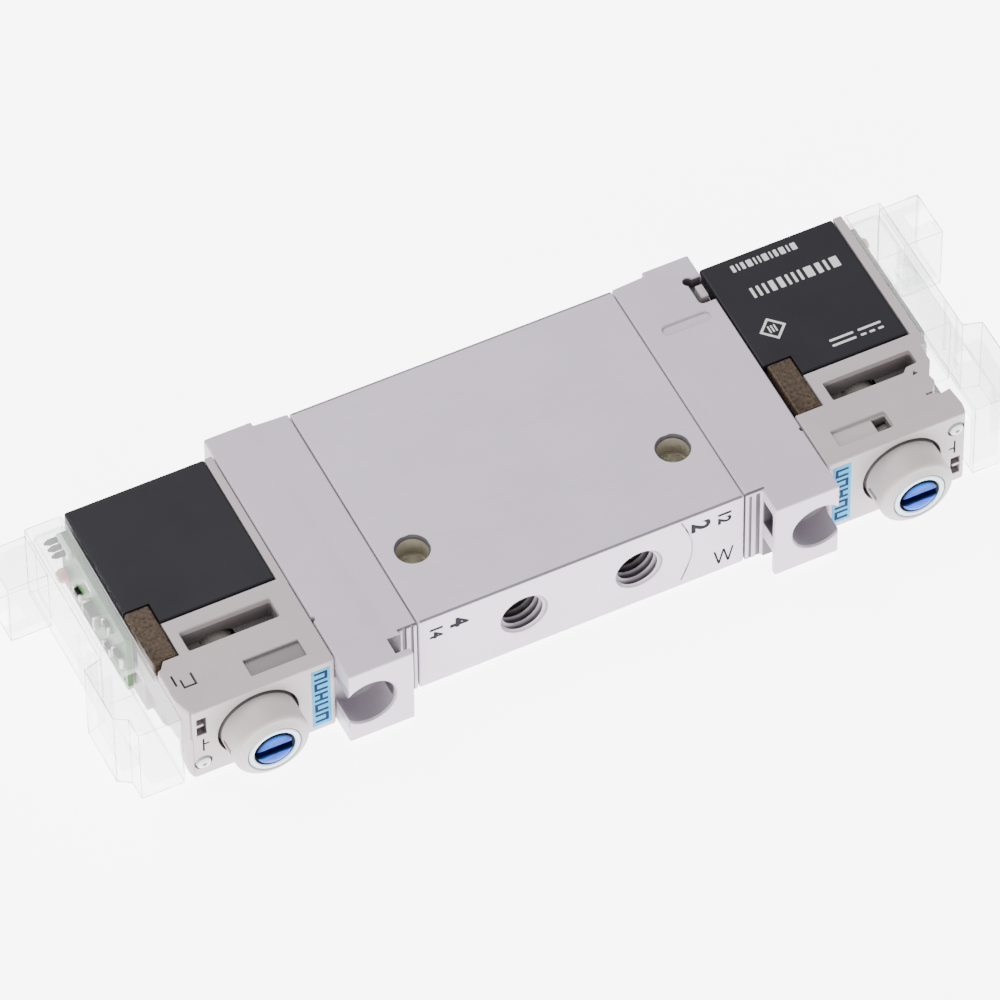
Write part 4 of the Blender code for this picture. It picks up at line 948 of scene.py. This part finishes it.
def manual_override():
    front = BOSS.y0
    rim = BOSS.x1 - AXIS[0]
    base, tail = FRAME.y0 + 1.6, BOSS.y1
    bore = PLUNGER.x1 - AXIS[0] + 0.06
    angles = [math.radians(90 * step / 8) for step in range(9)]
    dome = [(front + 0.95 - 0.62 * math.sin(angle), rim - 0.55 * (1 - math.cos(angle)))
            for angle in reversed(angles)]
    profile = [(front + 0.1, bore), (front, bore + 0.1), (front + 0.02, bore + 0.22), *dome, (base, rim),
               (base, 3.25), (tail, 3.25), (tail, 1.62), (tail - 0.6, 1.62), (tail - 0.6, bore)]
    notches = [block((x - 0.28, front + 1.5, MID - 0.35), (x + 0.28, front + 3.3, MID + 0.35))
               for x in (AXIS[0] - rim, AXIS[0] + rim)]
    mesh = carved(turned(profile, "Y", AXIS, 96, ring=True), notches)
    pair("override_collar", mesh, COLLAR_GREY, "override_boss")

    rim_out = PLUNGER.x1 - AXIS[0]
    cup = HEAD.x1 - AXIS[0] + 0.1
    face = PLUNGER.y0
    floor = HEAD.y0 + 1.4
    profile = [(floor + 3.0, 0), (floor + 3.0, 0.85), (floor, 0.85), (floor, cup), (face + 0.12, cup),
               (face, cup + 0.12), (face, rim_out - 0.14), (face + 0.14, rim_out), (face + 2.1, rim_out),
               (face + 2.1, 1.5), (PLUNGER.y1 - 0.2, 1.5), (PLUNGER.y1, 1.3), (PLUNGER.y1, 0)]
    pair("override_ring", turned(profile, "Y", AXIS, 72), RING_WHITE,
         "override_plunger", "push")

    head = HEAD.x1 - AXIS[0] - 0.12
    face = HEAD.y0
    profile = [(face + 0.05, 0), (face + 0.04, head * 0.4), (face + 0.0, head * 0.75),
               (face + 0.04, head - 0.22), (face + 0.12, head - 0.08), (face + 0.26, head),
               (HEAD.y1 - 2.5, head), (HEAD.y1 - 2.5, 0.75), (HEAD.y1 - 0.2, 0.75), (HEAD.y1, 0.6),
               (HEAD.y1, 0)]
    slot = loft([(along, rectangle(AXIS[0] - 3, MID - half, AXIS[0] + 3, MID + half)) for along, half in (
        (face - 1, 0.6), (face, 0.6), (face + 0.16, 0.48), (face + 0.8, 0.42))], "Y")
    pair("override_screw_head", carved(turned(profile, "Y", AXIS, 72), [slot]), BLUE,
         "override_head", "turn")


# ---- electrical end

def clear_cover():
    wall = 0.7
    x0 = COVER.x0 - 0.05
    face = COVER.x0 + 4.0
    nose = face + 1.9
    front, rear = COVER.y0, COVER.y1
    nose_start = front + 2.15
    nose_end = nose_start + 8.0
    outline = [(x0, front), (face + 0.63, front), (face + 0.63, nose_start), (nose, nose_start + 0.8),
               (nose, nose_end - 0.5), (face, nose_end), (face, rear), (x0, rear)]
    blank = rounded(prism(softened(outline, 0.7, 5), "Z", 0.02, TOP - 0.02), 0.3)
    socket_y, low, high = rear - 5.5, MID - 4.0, MID + 4.0
    socket = rounded(block((face - 1.5, socket_y, low), (COVER.x1, rear - 0.02, high), 0.3, "X"), 0.12)
    collar = rounded(block((COVER.x1 - 1.3, socket_y, low - 0.25),
                           (COVER.x1 - 0.5, rear - 0.01, high + 0.25), 0.3, "X"), 0.1)
    ribs = [rounded(block((face - 0.3, y, 1.2), (face + 0.45, y + 0.5, TOP - 1.2)), 0.15)
            for y in (nose_end + 1.6, nose_end + 4.0)]
    clips = [rounded(block((x0 + 0.9, y, z), (x0 + 3.4, y + 3.0, z + 0.5)), 0.12)
             for y in (-9.6, 2.4) for z in (0.0, TOP - 0.5)]
    hollow = block((x0 - 1, front + wall, wall), (face - wall, rear - wall, TOP - wall), 0.5)
    nose_hollow = block((x0, nose_start + wall, 2 * wall), (nose - wall, nose_end - 2 * wall,
                                                             TOP - 2 * wall), 0.3)
    opening = block((x0, socket_y + 0.5, low + 0.5), (COVER.x1 + 1, rear - 0.5, high - 0.5), 0.2, "X")
    slots = [block((x0 + 1.3, y, z), (x0 + 3.0, y + 1.8, top), 0.15)
             for z, top in ((-1, 1.2), (TOP - 1.2, TOP + 1)) for y in (-9.0, 3.0)]
    key = block((face + 1.6, socket_y + 1.7, high - 1), (COVER.x1 + 1, rear - 1.7, TOP + 1))
    mesh = carved(blank, [hollow, nose_hollow, opening, *slots, key], [socket, collar, *ribs, *clips])
    pair("clear_cover_moulding", mesh, CLEAR, "clear_cover")
    # a clear moulding is seen by its bright and dark edges, drawn here as painted reflection and shade
    # inside the walls
    inner_outline = [(x0 + 0.1, front + 0.1), (face + 0.53, front + 0.1), (face + 0.53, nose_start + 0.1),
                     (nose - 0.1, nose_start + 0.9), (nose - 0.1, nose_end - 0.6),
                     (face - 0.1, nose_end - 0.1), (face - 0.1, rear - 0.1), (x0 + 0.1, rear - 0.1)]
    lines = [edge_lines(prism(inner_outline, "Z", 0.12, TOP - 0.12)),
             edge_lines(block((face - 0.1, socket_y + 0.1, low + 0.1),
                              (COVER.x1 - 0.1, rear - 0.12, high - 0.1))),
             edge_lines(block((x0 + 0.15, BOARD.y0 - 0.3, wall), (face - wall, BOARD.y1, TOP - wall)),
                        0.07)]
    pair("clear_cover_edge_reflections", joined(lines), CLEAR_EDGE_REFLECTION)


def circuit_board():
    board = rounded(block((BOARD.x0, BOARD.y0, BOARD.z0), (BOARD.x1, BOARD.y1, BOARD.z1), 0.3, "X"),
                    0.05, 2)
    holes = [rod("X", (y, z), 0.18, BOARD.x0 - 1, BOARD.x1 + 1, 16)
             for y, z in ((-2.4, 2.2), (-2.4, 7.8), (8.0, 2.2), (3.2, 7.9))]
    pair("board_laminate", carved(board, holes), BOARD_GREEN, "circuit_board")
    chips = []
    ends = []
    for y, z, length, width, tall in ((-1.7, 5.0, 2.0, 1.25, 0.55), (0.9, 3.2, 1.6, 0.8, 0.45),
                                      (0.9, 6.6, 1.6, 0.8, 0.45), (4.0, 4.8, 2.6, 1.6, 0.9),
                                      (7.8, 6.0, 1.6, 0.8, 0.45)):
        x = BOARD.x1
        chips.append(rounded(block((x, y - length / 2 + 0.25, z - width / 2),
                                   (x + tall, y + length / 2 - 0.25, z + width / 2)), 0.05, 2))
        for side in (-1, 1):
            middle = y + side * (length / 2 - 0.15)
            ends.append(rounded(block((x, middle - 0.2, z - width / 2 - 0.02),
                                      (x + tall * 0.96, middle + 0.2, z + width / 2 + 0.02)), 0.06, 2))
    pair("board_components", joined(chips), DARK_PART)
    pair("board_solder_ends", joined(ends), TIN)
    for number in (1, 2, 3):
        pin = Extent(f"right_contact_pin_{number}")
        y, z = pin.middle("y"), pin.middle("z")
        half = (pin.y1 - pin.y0) / 2
        widths = ((BOARD.x1 + 0.02, half), (pin.x1 - 0.5, half), (pin.x1, half * 0.4))
        post = loft([(x, rectangle(y - r, z - r, y + r, z + r)) for x, r in widths], "X")
        pair(f"contact_post_{number}", rounded(post, 0.05, 2), DARK_PART, f"contact_pin_{number}")
    z = PIN.middle("z")
    header = rounded(block((BOARD.x1, BOARD.y1 - 2.7, z - 0.6), (BOARD.x1 + 0.5, BOARD.y1, z + 0.6)), 0.1)
    pair("contact_header", header, WHITE_PLASTIC)
    y, z = LED.middle("y"), LED.middle("z")
    profile = [(LED.x0 - 0.08, 0), (LED.x0 - 0.08, 0.78), (LED.x0 + 0.45, 0.78), (LED.x1 - 0.1, 0.55),
               (LED.x1, 0.3), (LED.x1, 0)]
    pair("indicator_lens", turned(profile, "X", (y, z), 40), RED_LENS, "indicator_led")


# ---- CAD nodes that stay

def dress_cad_nodes():
    """Materials for the inner pieces, whose solids are already right."""
    kinds = {"spool": SPOOL_METAL, "coil_bobbin": NYLON, "coil_winding": COPPER}
    kinds.update(dict.fromkeys(("spool_seal", "face_seal", "pilot_seal", "armature_pad"), RUBBER))
    kinds.update(dict.fromkeys(("pole_core", "armature", "armature_spring", "override_spring",
                                "adapter_screw"), STEEL))
    for name, node in NODES.items():
        plain = name.removeprefix("left_").removeprefix("right_").rstrip("0123456789").rstrip("_")
        if plain in kinds:
            node.data.materials.clear()
            node.data.materials.append(kinds[plain])
            node.data.shade_smooth()
            node.data.set_sharp_from_angle(angle=math.radians(30))


# ---- studio

def area_light(name, place, target, size, power, colour=(1, 1, 1)):
    light = bpy.data.lights.new(name, "AREA")
    light.shape = "RECTANGLE"
    light.size = size[0]
    light.size_y = size[1]
    light.energy = power
    light.color = colour
    holder = linked(name, light)
    holder.location = place
    direction = Vector(target) - Vector(place)
    holder.rotation_euler = direction.to_track_quat("-Z", "Y").to_euler()


def studio():
    half = FLOOR_HALF
    mesh = bpy.data.meshes.new("floor")
    mesh.from_pydata([(-half, -half, 0), (half, -half, 0), (half, half, 0), (-half, half, 0)], [],
                     [(0, 1, 2, 3)])
    mesh.materials.append(studio_floor())
    floor = linked("floor", mesh)
    floor.location.z = -FLOOR_DROP

    world = bpy.data.worlds.new("studio_light")
    world.use_nodes = True
    background = world.node_tree.nodes["Background"]
    background.inputs["Color"].default_value = (1.0, 1.0, 1.0, 1.0)
    background.inputs["Strength"].default_value = SKY_STRENGTH
    bpy.context.scene.world = world
    area_light("soft_box_above", (-0.2, 0.35, 0.7), (0, 0, 0), (0.5, 0.5), 7.0)
    area_light("soft_box_front", (-0.35, -0.65, 0.3), (0, 0, 0), (0.4, 0.3), 3.2, (1.0, 0.985, 0.96))


CAMERA_AZIMUTH = -25.63
CAMERA_ELEVATION = 51.2
CAMERA_ROLL = -0.66
CAMERA_DISTANCE = 0.923
VIEW_WIDTH = 0.0968         # across the picture at the valve's middle
CAMERA_SHIFT = (-0.01626, -0.01243)


def camera():
    azimuth, elevation = math.radians(CAMERA_AZIMUTH), math.radians(CAMERA_ELEVATION)
    back = Vector((math.sin(azimuth) * math.cos(elevation), -math.cos(azimuth) * math.cos(elevation),
                   math.sin(elevation)))
    right = Vector((math.cos(azimuth), math.sin(azimuth), 0))
    up = back.cross(right)
    roll = math.radians(CAMERA_ROLL)
    right, up = (right * math.cos(roll) + up * math.sin(roll), up * math.cos(roll) - right * math.sin(roll))
    data = bpy.data.cameras.new("camera")
    data.sensor_width = SENSOR_WIDTH
    data.lens = SENSOR_WIDTH * CAMERA_DISTANCE / VIEW_WIDTH
    data.shift_x, data.shift_y = CAMERA_SHIFT
    data.clip_start = 0.05
    data.clip_end = 20
    holder = linked("camera", data)
    place = Vector((0, 0, TOP / 2 * MM)) + back * CAMERA_DISTANCE
    holder.matrix_world = Matrix.Translation(place) @ Matrix((right, up, back)).transposed().to_4x4()
    bpy.context.scene.camera = holder


camera()
valve_body()
end_adapter()
pilot_frame()
coil()
flux_yoke()
manual_override()
clear_cover()
circuit_board()
dress_cad_nodes()
studio()
